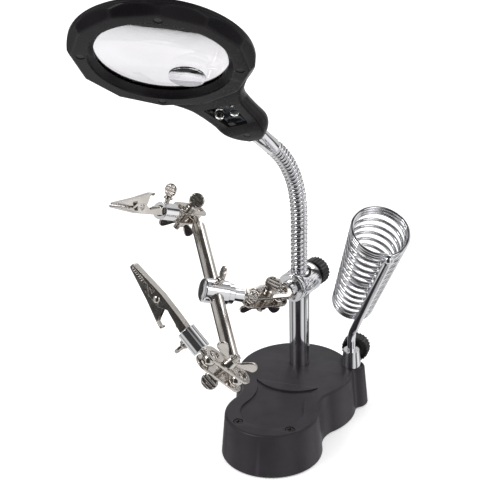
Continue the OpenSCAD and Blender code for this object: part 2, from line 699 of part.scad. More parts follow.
// Thumb screw whose tip is at the origin; shank_l is its length to the disc's collar
module thumb_screw(shank_l, disc_r) {
    cylinder(r = 1.5, h = shank_l + 1);
    translate([0, 0, shank_l]) cylinder(r = 2.6, h = 1.8);
    translate([0, 0, shank_l + 5.4]) thumb_disc(disc_r);
}
module rod_thumb_screw() {
    color(nickel) place(rod_p + rod_screw_dir * (rod_d / 2 + 0.1), rod_screw_dir, rod_dir)
        rotate(85) thumb_screw(4.2, 4.3);
}
module cross_rod() {
    l = rod_upper + rod_lower - 2 * rod_neck;
    color(nickel) place(upper_a + rod_dir * rod_neck, rod_dir, barrel_dir) difference() {
        union() {
            translate([0, 0, 3]) cylinder(r = rod_d / 2, h = l - 6);
            cylinder(r1 = 2.6, r2 = rod_d / 2, h = 3);
            translate([0, 0, l - 3]) cylinder(r1 = rod_d / 2, r2 = 2.6, h = 3);
        }
        translate([0, 0, -1]) cylinder(r = stud_hole_r + fit, h = 6);
        translate([0, 0, l - 5]) cylinder(r = stud_hole_r + fit, h = 6);
    }
}

// ---- clip barrels and clips: origin at the ball, Z outwards along the stud ----
clip_barrel_r = 5;
clip_barrel_l = 13;
clip_bore_r = 3;
clip_screw_z = stud_reach + 8.6;
module clip_barrel() {
    difference() {
        translate([0, 0, stud_reach]) cylinder(r = clip_barrel_r, h = clip_barrel_l);
        cylinder(r = stud_hole_r + fit, h = stud_reach + 4.9);
        translate([0, 0, stud_reach + 5.6]) cylinder(r = clip_bore_r, h = 20);
        translate([0, 0, clip_screw_z]) rotate([0, 90, 0]) cylinder(r = 1.5 + fit, h = 20);
    }
}
module clip_screw() {
    translate([2.7, 0, clip_screw_z]) rotate([0, 90, 0]) thumb_screw(4.6, 3.9);
}
// Spring clip in its own frame: X from the socket to the tips, Z towards the fixed jaw's back
clip_p0 = stud_reach + clip_barrel_l + 0.5;
pivot_x = 21;
pivot_z = -0.6;
jaw_w = 6.4;
sheet = 0.7;
teeth_n = 8;
tooth = 1.3;
// Teeth along the jaw's edge from x to the tip; side is 1 for the fixed jaw
function teeth(side) = [for (i = [0:2 * teeth_n])
    [clip_l - 0.8 - i * tooth / 2, side * (0.15 + (i % 2) * 0.7)]];
function fixed_profile() = concat(
    [[0, -2.4], [0, 2.4], [6, 2.7], [pivot_x, 3.1], [clip_l - 1, 1.5], [clip_l, 1.1], [clip_l, 0.15]],
    teeth(1), [[30, 0.6], [25.5, -2.6], [17.5, -2.6], [13, 0.2], [4, -1.4]]);
function moving_profile() = concat(
    [[clip_l, -0.15], [clip_l, -1.1], [clip_l - 1, -1.5], [pivot_x + 3, -5.6], [14, -8.4],
        [10, -9.6], [8, -9], [8.2, -8], [10.2, -8.2], [13.2, -6.6], [14.6, -3.2], [16.6, -0.2],
        [19, 1.3], [23, 1.3], [27, 0.2], [30, -0.8]],
    [for (i = [2 * teeth_n:-1:0]) teeth(-1)[i]]);
module channel(profile, w, web) {
    rotate([90, 0, 0]) translate([0, 0, -w / 2]) difference() {
        linear_extrude(w) polygon(profile);
        translate([0, web, sheet]) linear_extrude(w - 2 * sheet) polygon(profile);
    }
}
module in_clip(z_turn) {
    rotate(z_turn) translate([0, 0, clip_p0]) rotate([0, -90, 0]) children();
}
module fixed_jaw() {
    difference() {
        union() {
            channel(fixed_profile(), jaw_w, -sheet);
            translate([-6.6, 0, 0]) rotate([0, 90, 0]) cylinder(r = 2.6, h = 7.4);
        }
        translate([pivot_x, 0, pivot_z]) rotate([90, 0, 0]) translate([0, 0, -5]) cylinder(r = 1, h = 10);
    }
}
module moving_jaw() {
    difference() {
        channel(moving_profile(), jaw_w - 2 * sheet - 0.4, sheet);
        translate([pivot_x, 0, pivot_z]) rotate([90, 0, 0]) translate([0, 0, -5]) cylinder(r = 1.05, h = 10);
    }
}
module clip_rivet() {
    translate([pivot_x, 0, pivot_z]) rotate([90, 0, 0]) {
        translate([0, 0, -jaw_w / 2 - 0.6]) cylinder(r = 1, h = jaw_w + 1.2);
        for (s = [0, 1]) mirror([0, 0, s]) translate([0, 0, jaw_w / 2]) cylinder(r1 = 1.9, r2 = 1.4, h = 0.7);
    }
}
module clip_spring() {
    translate([pivot_x, 0, pivot_z]) rotate([90, 0, 0])
        for (k = [-1:1]) translate([0, 0, k * 0.85])
            rotate_extrude() translate([1.75, 0]) circle(r = 0.4, $fn = 16);
}
module at_upper() {
    color(nickel) place(upper_b, upper_o, upper_clip_x) children();
}
module at_lower() {
    color(nickel) place(lower_b, lower_o, lower_clip_x) children();
}
// Directions in which the clip barrels' thumb screws stand out
upper_screw_turn = 203;
lower_screw_turn = 155;
upper_clip_turn = 15;
lower_clip_turn = 30;
upper_clip_x = turn(upper_n, upper_o, upper_screw_turn);
lower_clip_x = turn(lower_n, lower_o, lower_screw_turn);
module upper_clip_barrel() { at_upper() clip_barrel(); }
module upper_clip_screw() { at_upper() clip_screw(); }
module upper_fixed_jaw() { at_upper() in_clip(upper_clip_turn) fixed_jaw(); }
module upper_moving_jaw() { at_upper() in_clip(upper_clip_turn) moving_jaw(); }
module upper_clip_rivet() { at_upper() in_clip(upper_clip_turn) clip_rivet(); }
module upper_clip_spring() { at_upper() in_clip(upper_clip_turn) clip_spring(); }
module lower_clip_barrel() { at_lower() clip_barrel(); }
module lower_clip_screw() { at_lower() clip_screw(); }
module lower_fixed_jaw() { at_lower() in_clip(lower_clip_turn) fixed_jaw(); }
module lower_moving_jaw() { at_lower() in_clip(lower_clip_turn) moving_jaw(); }
module lower_clip_rivet() { at_lower() in_clip(lower_clip_turn) clip_rivet(); }
module lower_clip_spring() { at_lower() in_clip(lower_clip_turn) clip_spring(); }

base_shell();
deck_screws();
base_weight();
bottom_plate();
anti_slip_pad();
battery_cells();
post_tube();
post_bolt();
iron_collar();
iron_rod();
iron_coil();
iron_knob();
gooseneck_ferrule();
gooseneck_link(1);  // gooseneck_link_1
gooseneck_link(2);  // gooseneck_link_2
gooseneck_link(3);  // gooseneck_link_3
gooseneck_link(4);  // gooseneck_link_4
gooseneck_link(5);  // gooseneck_link_5
end_tube();
head_lower_shell();
head_upper_shell();
lens();
insert_lens();
head_screws();
leds();
led_board();
slide_switch();
clamp_bush();
clamp_barrel();
clamp_knob();
centre_stud_post();
centre_plates();
centre_wing_screw();
centre_wing_nut();
centre_stud_rod();
rod_barrel();
rod_thumb_screw();
cross_rod();
upper_stud_rod();
upper_plates();
upper_wing_screw();
upper_wing_nut();
upper_stud_clip();
upper_clip_barrel();
upper_clip_screw();
upper_fixed_jaw();
upper_moving_jaw();
upper_clip_rivet();
upper_clip_spring();
lower_stud_rod();
lower_plates();
lower_wing_screw();
lower_wing_nut();
lower_stud_clip();
lower_clip_barrel();
lower_clip_screw();
lower_fixed_jaw();
lower_moving_jaw();
lower_clip_rivet();
lower_clip_spring();
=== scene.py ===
"""Helping hands clamp: the looks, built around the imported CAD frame. Shapes are in millimetres in
local frames taken from the joints, and placed in the row frame in metres."""

import json
import math

import bmesh
import bpy
from mathutils import Matrix, Quaternion, Vector
from mathutils.geometry import tessellate_polygon


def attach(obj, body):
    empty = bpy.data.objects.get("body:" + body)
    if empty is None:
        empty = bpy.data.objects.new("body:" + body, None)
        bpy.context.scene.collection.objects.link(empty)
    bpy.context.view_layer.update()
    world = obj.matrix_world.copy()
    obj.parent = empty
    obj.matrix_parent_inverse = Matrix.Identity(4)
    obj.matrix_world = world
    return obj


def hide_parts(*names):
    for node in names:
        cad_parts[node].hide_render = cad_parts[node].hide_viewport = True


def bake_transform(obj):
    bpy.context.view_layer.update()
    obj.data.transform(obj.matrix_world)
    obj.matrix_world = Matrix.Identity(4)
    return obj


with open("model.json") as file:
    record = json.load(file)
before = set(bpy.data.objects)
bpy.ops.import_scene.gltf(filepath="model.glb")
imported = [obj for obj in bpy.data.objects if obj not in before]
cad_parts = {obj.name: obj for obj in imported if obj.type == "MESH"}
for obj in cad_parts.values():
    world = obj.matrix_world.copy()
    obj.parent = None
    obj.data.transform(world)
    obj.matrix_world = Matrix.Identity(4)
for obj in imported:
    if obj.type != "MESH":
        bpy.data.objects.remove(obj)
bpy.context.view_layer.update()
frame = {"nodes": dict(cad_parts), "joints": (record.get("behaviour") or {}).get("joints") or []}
MM = 0.001
X, Y, Z = Vector((1, 0, 0)), Vector((0, 1, 0)), Vector((0, 0, 1))
joints = {j["name"]: j for j in frame["joints"]}


def pos(name):
    """A joint's point in millimetres."""
    return Vector(joints[name]["pos_m"]) / MM


def axis(name):
    return Vector(joints[name]["axis"]).normalized()


# ---------------------------------------------------------------- shapes
def place(origin, z, x, turn=0.0):
    """Matrix from a local frame in millimetres to the row frame: Z along z and X near x, turned about Z."""
    z = Vector(z).normalized()
    x = Vector(x)
    x = (x - z * x.dot(z)).normalized()
    x.rotate(Quaternion(z, math.radians(turn)))
    m = Matrix((x, z.cross(x), z)).transposed().to_4x4()
    m.translation = Vector(origin)
    return Matrix.Scale(MM, 4) @ m


HERE = Matrix.Scale(MM, 4)


def shifted(part, m):
    return [tuple(m @ Vector(v)) for v in part[0]], part[1]


def at(x, y, z, turn=0.0, about="Z"):
    return Matrix.Translation((x, y, z)) @ Matrix.Rotation(math.radians(turn), 4, about)


def soften(points, radius, steps=4, closed=False):
    """Rounds the corners of a line: each becomes a short curve that starts radius before it."""
    out = []
    n = len(points)
    for i, p in enumerate(points):
        if not closed and i in (0, n - 1):
            out.append(tuple(p))
            continue
        a, b, c = Vector(points[i - 1]), Vector(p), Vector(points[(i + 1) % n])
        u, v = a - b, c - b
        r = min(radius, u.length * 0.45, v.length * 0.45)
        start, end = b + u.normalized() * r, b + v.normalized() * r
        for k in range(steps + 1):
            t = k / steps
            out.append(tuple(start * (1 - t) ** 2 + b * 2 * t * (1 - t) + end * t ** 2))
    return out


def arc(x, y, r, start, end, n):
    """Points on a circular arc, in n steps from one angle to the other."""
    angles = (start + (end - start) * i / n for i in range(n + 1))
    return [(x + r * math.cos(a), y + r * math.sin(a)) for a in angles]


def circle(x, y, r, n=32):
    return arc(x, y, r, 0, math.tau, n)[:-1]


def quarter(n):
    """Angles over a quarter turn, in n steps."""
    return [math.pi / 2 * k / n for k in range(n + 1)]


def lathe(profile, sides=64, closed=False, radius=None):
    """Turns a line of (radius, height) points about Z. radius(r, angle) may change each point's radius."""
    verts, faces, rings = [], [], []
    for r, z in profile:
        if r < 1e-6:
            rings.append([len(verts)] * sides)
            verts.append((0, 0, z))
            continue
        rings.append(list(range(len(verts), len(verts) + sides)))
        for k in range(sides):
            a = math.tau * k / sides
            q = radius(r, a) if radius else r
            verts.append((q * math.cos(a), q * math.sin(a), z))
    n = len(rings)
    for i in range(n if closed else n - 1):
        a, b = rings[i], rings[(i + 1) % n]
        for k in range(sides):
            m = (k + 1) % sides
            face = list(dict.fromkeys((a[k], a[m], b[m], b[k])))
            if len(face) > 2:
                faces.append(face)
    return verts, faces


def tube(path, radius, sides=12):
    """A round bar along the points. radius is a number or one number for each point."""
    pts = [Vector(p) for p in path]
    n = len(pts)
    radii = radius if hasattr(radius, "__len__") else [radius] * n
    tangents = [(pts[min(i + 1, n - 1)] - pts[max(i - 1, 0)]).normalized() for i in range(n)]
    side = tangents[0].orthogonal().normalized()
    verts, faces = [], []
    for i in range(n):
        if i:
            side.rotate(tangents[i - 1].rotation_difference(tangents[i]))
        side = (side - tangents[i] * side.dot(tangents[i])).normalized()
        other = tangents[i].cross(side)
        for k in range(sides):
            a = math.tau * k / sides
            verts.append(tuple(pts[i] + radii[i] * (side * math.cos(a) + other * math.sin(a))))
    for i in range(n - 1):
        for k in range(sides):
            m = (k + 1) % sides
            faces.append([i * sides + k, i * sides + m, (i + 1) * sides + m, (i + 1) * sides + k])
    faces.append(list(range(sides))[::-1])
    faces.append([(n - 1) * sides + k for k in range(sides)])
    return verts, faces


def inset(loop, d):
    """The flat loop moved to its left by d."""
    out, n = [], len(loop)
    for i in range(n):
        a, b, c = (Vector(loop[j % n][:2]) for j in (i - 1, i, i + 1))
        u, v = (b - a).normalized(), (c - b).normalized()
        left = Vector((-u.y - v.y, u.x + v.x)).normalized()
        out.append(tuple(b + left * d / max(0.4, left.dot(Vector((-u.y, u.x))))))
    return out


def area(loop):
    return sum(a[0] * b[1] - b[0] * a[1] for a, b in zip(loop, loop[1:] + loop[:1])) / 2


def left_handed(loop, hole):
    """The loop with the material on its left."""
    return loop if (area(loop) > 0) != hole else loop[::-1]


class Skin:
    """Grows a closed mesh from loops of points."""

    def __init__(self):
        self.verts, self.faces = [], []

    def ring(self, loop, z=None):
        first = len(self.verts)
        self.verts += [tuple(p) if z is None else (p[0], p[1], z) for p in loop]
        return list(range(first, len(self.verts)))

    def wall(self, rings):
        for a, b in zip(rings, rings[1:]):
            for i in range(len(a)):
                j = (i + 1) % len(a)
                self.faces.append([a[i], a[j], b[j], b[i]])

    def cap(self, *rings):
        index = [i for ring in rings for i in ring]
        for t in tessellate_polygon([[Vector(self.verts[i]) for i in ring] for ring in rings]):
            self.faces.append([index[i] for i in t])

    def part(self):
        return self.verts, self.faces


def slab(outer, holes, z0, z1, edge=0.25, steps=3):
    """A flat plate with holes, all its edges rounded."""
    skin = Skin()
    low, high = [], []
    for loop, hole in [(outer, False)] + [(h, True) for h in holes]:
        loop = left_handed([tuple(p[:2]) for p in loop], hole)
        rings = []
        for z, s, order in ((z0, 1, range(steps, -1, -1)), (z1, -1, range(steps + 1))):
            for k in order:
                a = math.pi / 2 * k / steps
                rim = inset(loop, edge * (1 - math.cos(a)))
                rings.append(skin.ring(rim, z + s * edge * (1 - math.sin(a))))
        skin.wall(rings)
        low.append(rings[0])
        high.append(rings[-1])
    skin.cap(*low)
    skin.cap(*high)
    return skin.part()


def build(name, parts, matrix=HERE):
    """One object from closed parts, its faces turned outwards."""
    mesh = bpy.data.meshes.new(name)
    verts, faces = [], []
    for part_verts, part_faces in parts:
        base = len(verts)
        verts += [matrix @ Vector(v) for v in part_verts]
        faces += [[base + i for i in f] for f in part_faces]
    mesh.from_pydata(verts, [], faces)
    bm = bmesh.new()
    bm.from_mesh(mesh)
    bmesh.ops.remove_doubles(bm, verts=bm.verts, dist=2e-7)
    bmesh.ops.dissolve_degenerate(bm, edges=bm.edges, dist=1e-8)
    bmesh.ops.recalc_face_normals(bm, faces=bm.faces)
    bm.to_mesh(mesh)
    bm.free()
    obj = bpy.data.objects.new(name, mesh)
    bpy.context.scene.collection.objects.link(obj)
    return obj


def carve(obj, parts, matrix=HERE):
    """Cuts closed parts out of obj and keeps the result as its mesh."""
    for part in parts:
        tool = build("tool", [part], matrix)
        mod = obj.modifiers.new("cut", "BOOLEAN")
        mod.operation, mod.solver, mod.object = "DIFFERENCE", "EXACT", tool
        bpy.context.view_layer.update()
        result = obj.evaluated_get(bpy.context.evaluated_depsgraph_get())
        mesh = bpy.data.meshes.new_from_object(result)
        obj.modifiers.clear()
        obj.data = mesh
        bpy.data.objects.remove(tool)
    return obj


def join(name, *objs):
    """One object from the meshes of several, which it takes the place of."""
    bm = bmesh.new()
    for o in objs:
        bm.from_mesh(o.data)
    mesh = bpy.data.meshes.new(name)
    bm.to_mesh(mesh)
    bm.free()
    for o in objs:
        bpy.data.objects.remove(o)
    obj = bpy.data.objects.new(name, mesh)
    bpy.context.scene.collection.objects.link(obj)
    return obj


def smooth(obj, angle=35):
    for p in obj.data.polygons:
        p.use_smooth = True
    obj.data.set_sharp_from_angle(angle=math.radians(angle))
    # wide flat faces keep their own normal, so reflections stay flat up to the rounded edges
    flat = obj.modifiers.new("flat", "WEIGHTED_NORMAL")
    flat.mode, flat.weight, flat.keep_sharp = "FACE_AREA", 100, True


def finish_piece(obj, body, slot, nodes=(), angle=35, finish=None):
    """Shades a piece, gives it a material, rides it on its body and hides the CAD nodes it stands for.

    The material is the slot's, or finish where a piece has a look of its own."""
    smooth(obj, angle)
    obj.data.materials.clear()
    obj.data.materials.append(material[finish or slot])
    if body:
        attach(obj, body)
    if nodes:
        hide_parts(*nodes)
    return obj


def piece(name, parts, matrix, body, slot, nodes=(), angle=35, finish=None):
    return finish_piece(build(name, parts, matrix), body, slot, nodes, angle, finish)


# ---------------------------------------------------------------- materials
def new_material(name):
    m = bpy.data.materials.new(name)
    m.use_nodes = True
    tree = m.node_tree
    tree.nodes.clear()
    out = tree.nodes.new("ShaderNodeOutputMaterial")
    shader = tree.nodes.new("ShaderNodeBsdfPrincipled")
    tree.links.new(shader.outputs[0], out.inputs["Surface"])
    return m, tree, shader


def noise(tree, scale, detail=4.0, stretch=(1, 1, 1), rough=0.55):
    """Noise on the object's own coordinates, so it moves with the piece."""
    where = tree.nodes.new("ShaderNodeTexCoord")
    mapping = tree.nodes.new("ShaderNodeMapping")
    mapping.inputs["Scale"].default_value = stretch
    tex = tree.nodes.new("ShaderNodeTexNoise")
    tex.inputs["Scale"].default_value = scale
    tex.inputs["Detail"].default_value = detail
    tex.inputs["Roughness"].default_value = rough
    tree.links.new(where.outputs["Object"], mapping.inputs["Vector"])
    tree.links.new(mapping.outputs["Vector"], tex.inputs["Vector"])
    return tex.outputs["Fac"]


def ramp(tree, value, stops):
    node = tree.nodes.new("ShaderNodeValToRGB")
    while len(node.color_ramp.elements) < len(stops):
        node.color_ramp.elements.new(0.5)
    for e, (p, c) in zip(node.color_ramp.elements, stops):
        e.position = p
        e.color = (*c, 1) if hasattr(c, "__len__") else (c, c, c, 1)
    tree.links.new(value, node.inputs["Fac"])
    return node.outputs["Color"]


def wear(tree, amount):
    """How far a point is on a worn edge, from the surface's pointiness."""
    geo = tree.nodes.new("ShaderNodeNewGeometry")
    return ramp(tree, geo.outputs["Pointiness"], [(0.5, 0.0), (0.5 + amount, 1.0)])


def mix(tree, fac, a, b):
    node = tree.nodes.new("ShaderNodeMix")
    node.data_type = "RGBA"
    tree.links.new(fac, node.inputs[0])
    for socket, value in ((node.inputs[6], a), (node.inputs[7], b)):
        if isinstance(value, bpy.types.NodeSocket):
            tree.links.new(value, socket)
        else:
            socket.default_value = (*value, 1)
    return node.outputs[2]


def bump(tree, shader, height, strength, distance, normal=None):
    node = tree.nodes.new("ShaderNodeBump")
    node.inputs["Strength"].default_value = strength
    node.inputs["Distance"].default_value = distance
    tree.links.new(height, node.inputs["Height"])
    if normal is not None:
        tree.links.new(normal, node.inputs["Normal"])
    tree.links.new(node.outputs["Normal"], shader.inputs["Normal"])
    return node.outputs["Normal"]


def plated(name, colour, dark, rough, grain, wave):
    """Bright plating over turned metal: cloudy tint, fine polishing grain and slight waviness."""
    m, tree, s = new_material(name)
    s.inputs["Metallic"].default_value = 1.0
    tint = ramp(tree, noise(tree, 60, 5), [(0.35, dark), (0.62, colour)])
    tree.links.new(tint, s.inputs["Base Color"])
    haze = ramp(tree, noise(tree, 240, 6), [(0.3, rough[0]), (0.7, rough[1])])
    tree.links.new(haze, s.inputs["Roughness"])
    n = bump(tree, s, noise(tree, 90, 2), 0.25, wave)
    bump(tree, s, noise(tree, 1500, 3), 0.12, grain, n)
    return m


def moulded(name, colour, light, rough, grain, distance, coat=0.0, shine=0.36):
    """Moulded plastic: fine spark-eroded grain, faint cloudiness and lighter worn edges."""
    m, tree, s = new_material(name)
    cloud = ramp(tree, noise(tree, 45, 4), [(0.35, colour), (0.7, light)])
    worn = tuple(min(1, c * 2.2 + 0.015) for c in colour)
    tree.links.new(mix(tree, wear(tree, 0.14), cloud, worn), s.inputs["Base Color"])
    haze = ramp(tree, noise(tree, 130, 5), [(0.3, rough[0]), (0.72, rough[1])])
    tree.links.new(haze, s.inputs["Roughness"])
    s.inputs["Specular IOR Level"].default_value = shine
    if coat:
        s.inputs["Coat Weight"].default_value = coat
        s.inputs["Coat Roughness"].default_value = 0.25
    bump(tree, s, noise(tree, grain, 3), 0.35, distance)
    return m


def glassy(name, colour, rough, tint_scale):
    """Clear plastic with a faint cloudy tint and slightly wavy faces."""
    m, tree, s = new_material(name)
    light = tuple(min(1, c * 1.03) for c in colour)
    tint = ramp(tree, noise(tree, tint_scale, 3), [(0.3, colour), (0.8, light)])
    tree.links.new(tint, s.inputs["Base Color"])
    s.inputs["Transmission Weight"].default_value = 1.0
    s.inputs["IOR"].default_value = 1.47
    haze = ramp(tree, noise(tree, 300, 3), [(0.3, rough[0]), (0.8, rough[1])])
    tree.links.new(haze, s.inputs["Roughness"])
    bump(tree, s, noise(tree, 220, 2), 0.03, 0.0002)
    return m


material = {
    "charcoal": moulded("charcoal", (0.0155, 0.0120, 0.0165), (0.0240, 0.0195, 0.0255), (0.36, 0.48),
                        2600, 0.00005),
    "gloss_black": moulded("gloss_black", (0.0050, 0.0040, 0.0050), (0.0085, 0.0072, 0.0085), (0.22, 0.34),
                           2200, 0.00003, shine=0.15),
    "black_nylon": moulded("black_nylon", (0.005, 0.005, 0.0055), (0.010, 0.010, 0.0105), (0.30, 0.46),
                           1800, 0.00005),
    "chrome": plated("chrome", (0.86, 0.86, 0.88), (0.78, 0.78, 0.81), (0.05, 0.12), 0.000003, 0.000015),
    "nickel": plated("nickel", (0.74, 0.70, 0.66), (0.55, 0.51, 0.47), (0.10, 0.20), 0.000004, 0.00002),
    "steel": plated("steel", (0.52, 0.52, 0.52), (0.40, 0.40, 0.40), (0.25, 0.4), 0.00003, 0.0001),
    "cell": plated("cell", (0.62, 0.62, 0.58), (0.5, 0.5, 0.47), (0.2, 0.3), 0.00002, 0.0001),
    "cast_iron": moulded("cast_iron", (0.10, 0.10, 0.10), (0.16, 0.15, 0.14), (0.6, 0.8), 700, 0.0003),
    "foam": moulded("foam", (0.018, 0.018, 0.018), (0.030, 0.030, 0.030), (0.8, 0.95), 1400, 0.0004),
    "board": moulded("board", (0.020, 0.024, 0.030), (0.034, 0.038, 0.046), (0.22, 0.36), 1200, 0.00004,
                     coat=0.3),
    "clear": glassy("clear", (0.70, 0.69, 0.71), (0.0, 0.02), 30),
    "insert": glassy("insert", (0.92, 0.91, 0.93), (0.0, 0.02), 30),
    "led": glassy("led", (0.97, 0.97, 0.93), (0.0, 0.03), 200),
}


# ---------------------------------------------------------------- base
BASE_H, REAR_R, FRONT_R = 25.5, 33.9, 26.2
REAR, FRONT, EAR, EAR_R = Vector((0, -9.3)), Vector((0, -58.1)), Vector((31.8, 5.7)), 6.6
WAIST_R, EAR_WAIST_R = 20, 6
SCREW_X, SCREW_Y, SCREW_WELL_R = 14.8, -73, 2.7
COLLAR, COLLAR_WELL_R = Vector((30.5, 5.2)), 3.23
POST_R, POST_TOP, POST_FOOT, POST_WALL = 6.0, 86.0, 8.0, 1.2
RUNNING_FIT = 0.03


def waist(a, ra, b, rb, r, side):
    """Centre of a concave arc of radius r that touches the circles (a, ra) and (b, rb)."""
    d = (b - a).length
    u = (b - a) / d
    m = ((ra + r) ** 2 - (rb + r) ** 2 + d * d) / (2 * d)
    return a + u * m + Vector((-u.y, u.x)) * math.sqrt((ra + r) ** 2 - m * m) * side


def base_outline(g, fine=2.5):
    """The base's outline grown by g: lobes, ear and the concave arcs between them."""
    right, left = (waist(REAR, REAR_R, FRONT, FRONT_R, WAIST_R, s) for s in (1, -1))
    ear_front, ear_back = (waist(REAR, REAR_R, EAR, EAR_R, EAR_WAIST_R, s) for s in (-1, 1))
    arcs = [(FRONT, FRONT_R + g, left, right, 1, 24), (right, WAIST_R - g, FRONT, REAR, -1, 10),
            (REAR, REAR_R + g, right, ear_front, 1, 8), (ear_front, EAR_WAIST_R - g, REAR, EAR, -1, 6),
            (EAR, EAR_R + g, ear_front, ear_back, 1, 10), (ear_back, EAR_WAIST_R - g, EAR, REAR, -1, 6),
            (REAR, REAR_R + g, ear_back, left, 1, 26), (left, WAIST_R - g, REAR, FRONT, -1, 10)]
    out = []
    for c, r, start, end, way, n in arcs:
        a0, a1 = (math.atan2(*(p - c).yx) for p in (start, end))
        if way * a1 < way * a0:
            a1 += math.tau * way
        out += arc(c.x, c.y, r, a0, a1, round(n * fine))[:-1]
    return out


def recess_loop():
    """Outline of the sunk part of the deck, with a concave end round the rear lobe."""
    horn_y, r = -26.5, 25
    rim = base_outline(-8.5)
    half = len(rim) // 2
    a = math.asin((horn_y - REAR.y) / r)
    right, left = ([p for p in part if p[1] < horn_y] for part in (rim[:half], rim[half:]))
    return right + arc(REAR.x, REAR.y, r, a, -math.pi - a, 40) + left


def well(skin, loop, top, depth, edge=0.2):
    """Walls and floor of a round hole; returns its rim for the face it is in."""
    rings = [skin.ring(inset(loop, edge * (1 - math.sin(t))), top - edge * (1 - math.cos(t)))
             for t in quarter(3)]
    rings.append(skin.ring(loop, top - depth))
    skin.wall(rings)
    skin.cap(rings[-1])
    return rings[0]


def base_shell():
    skin = Skin()
    # heights and growths of the outline: foot, small step, upright wall and rounded shoulder
    foot, shoulder, round_h, round_in = 0.6, 24.0, 1.5, 1.6
    levels = [(2.9, -0.3), (foot, -0.3)]
    levels += arc(foot + 0.4, 1.9, 0.4, math.pi, math.pi / 2, 3)
    levels += [(shoulder, 0.1)]
    levels += [(shoulder + round_h * math.sin(t), 0.1 - round_in * (1 - math.cos(t))) for t in quarter(8)[1:]]
    rings = [skin.ring(base_outline(g), z) for z, g in levels]
    skin.wall(rings)
    skin.cap(rings[0])
    # sunk deck: rounded lip, wall, fillet and floor
    lip = [(-0.35, 0), (-0.12, 0.05), (0, 0.3), (0, 0.65), (0.12, 0.93), (0.4, 1)]
    hole = left_handed(soften(recess_loop(), 0.5, 3, True), True)
    recess = [skin.ring(inset(hole, -d), BASE_H - drop) for d, drop in lip]
    skin.wall(recess)
    skin.cap(recess[-1])
    wells = [(s * SCREW_X, SCREW_Y, SCREW_WELL_R, 36, 2.2) for s in (-1, 1)]
    wells += [(0, 0, POST_R + RUNNING_FIT, 64, 12), (*COLLAR, COLLAR_WELL_R, 32, 11)]
    tops = [well(skin, left_handed(circle(x, y, r, sides), True), BASE_H, depth)
            for x, y, r, sides, depth in wells]
    skin.cap(rings[-1], recess[0], *tops)
    return skin.part()


piece("base_shell_skin", [base_shell()], HERE, "base", "charcoal", ["base_shell"], 30)


# ---------------------------------------------------------------- turned and ribbed parts
KNOB_R, KNOB_LEN, KNOB_RIBS = 8.2, 7.9, 24


def ribbed_knob(z0, neck_r, neck_z):
    """Knob with coarse rounded flutes, a domed face and a plain collar towards the joint."""
    r, z1 = KNOB_R, z0 + KNOB_LEN
    flute_from, flute_depth, edge = r * 0.86, 0.62, 0.9

    def flute(q, a):
        if q < flute_from:
            return q
        depth = flute_depth * (0.5 - 0.5 * math.cos(KNOB_RIBS * a)) ** 0.7
        return q - depth * min(1, (q - flute_from) / (r * 0.1))

    face = [(0, z1), (r * 0.5, z1 - 0.02), (r * 0.8, z1 - 0.12)]
    corner = arc(r - edge, z1 - 0.15 - edge, edge, math.pi / 2, 0, 5)
    back = [(r, z0 + 0.6), (r - 0.25, z0 + 0.18), (r - 0.7, z0), (neck_r + 0.3, z0)]
    collar = [(neck_r, z0 - 0.2), (neck_r, neck_z + 0.3), (neck_r - 0.3, neck_z), (0, neck_z)]
    return lathe(face + corner + back + collar, KNOB_RIBS * 8, radius=flute)


def pin(r, z0, z1, sides=32):
    """Plain cylinder, for shanks and for cutting bores."""
    return lathe([(0, z0), (r, z0), (r, z1), (0, z1)], sides)


post_bore = POST_R - POST_WALL
post_profile = [(0, POST_FOOT), (POST_R, POST_FOOT), (POST_R, POST_TOP - 0.9),
                (POST_R - 0.25, POST_TOP - 0.3), (POST_R - 0.9, POST_TOP), (post_bore + 0.1, POST_TOP),
                (post_bore, POST_TOP - 6), (0, POST_TOP - 6)]
piece("post_skin", [lathe(post_profile, 96)], HERE, "base", "chrome", ["post_tube"], 40)

# from the post out towards the arm
F = axis("centre_post_twist")
piece("clamp_knob_ribs", [ribbed_knob(13.9, 5.0, 11.9), pin(2, 7, 13, 24)],
      place(pos("clamp_swivel"), -F, Z), "clamp_knob", "black_nylon", ["clamp_knob"], 40)
piece("iron_knob_ribs", [ribbed_knob(6, 4.2, 4.3), pin(1.5, 0, 6, 24)],
      place(pos("iron_knob_turn") + Y * 2.45, Y, X), "iron_knob", "black_nylon", ["iron_knob"], 40)

# ---------------------------------------------------------------- iron holder
ROD_R, BEND_Z, ROD_L = 2.4, 46.0, 85.0
WIRE_R, MOUTH_R, FOOT_R, COIL_L, TURNS, TIGHT = 1.0, 15.8, 11.7, 76.4, 16, 2.5


def heading(azimuth, slope):
    a, s = math.radians(azimuth), math.radians(slope)
    return Vector((math.cos(a) * math.cos(s), math.sin(a) * math.cos(s), math.sin(s)))


iron_dir, coil_dir = heading(-55, 54.2), heading(-57.2, 56.2)
bend = Vector((COLLAR.x, COLLAR.y, BEND_Z))
rod_end = bend + iron_dir * ROD_L
rod_foot = Vector((COLLAR.x, COLLAR.y, 16))
piece("iron_rod_bent", [tube(soften([rod_foot, bend, rod_end], 5, 12), ROD_R, 40)], HERE,
      "iron_holder", "chrome", ["iron_rod"], 40)

coil_up = (Z - coil_dir * coil_dir.z).normalized()
coil_up.rotate(Quaternion(coil_dir, math.radians(-5)))
coil_off = MOUTH_R + WIRE_R + ROD_R + 0.15
coil_foot = rod_end + coil_up * coil_off - coil_dir * COIL_L


def coil_rise(q):
    """Height along the coil after q turns: open in the middle, closed up at both ends."""
    pitch = WIRE_R * 2 * 1.05
    low = TIGHT * pitch
    if q < TIGHT:
        return q * pitch
    if q > TURNS - TIGHT:
        return COIL_L - (TURNS - q) * pitch
    return low + (q - TIGHT) / (TURNS - 2 * TIGHT) * (COIL_L - 2 * low)


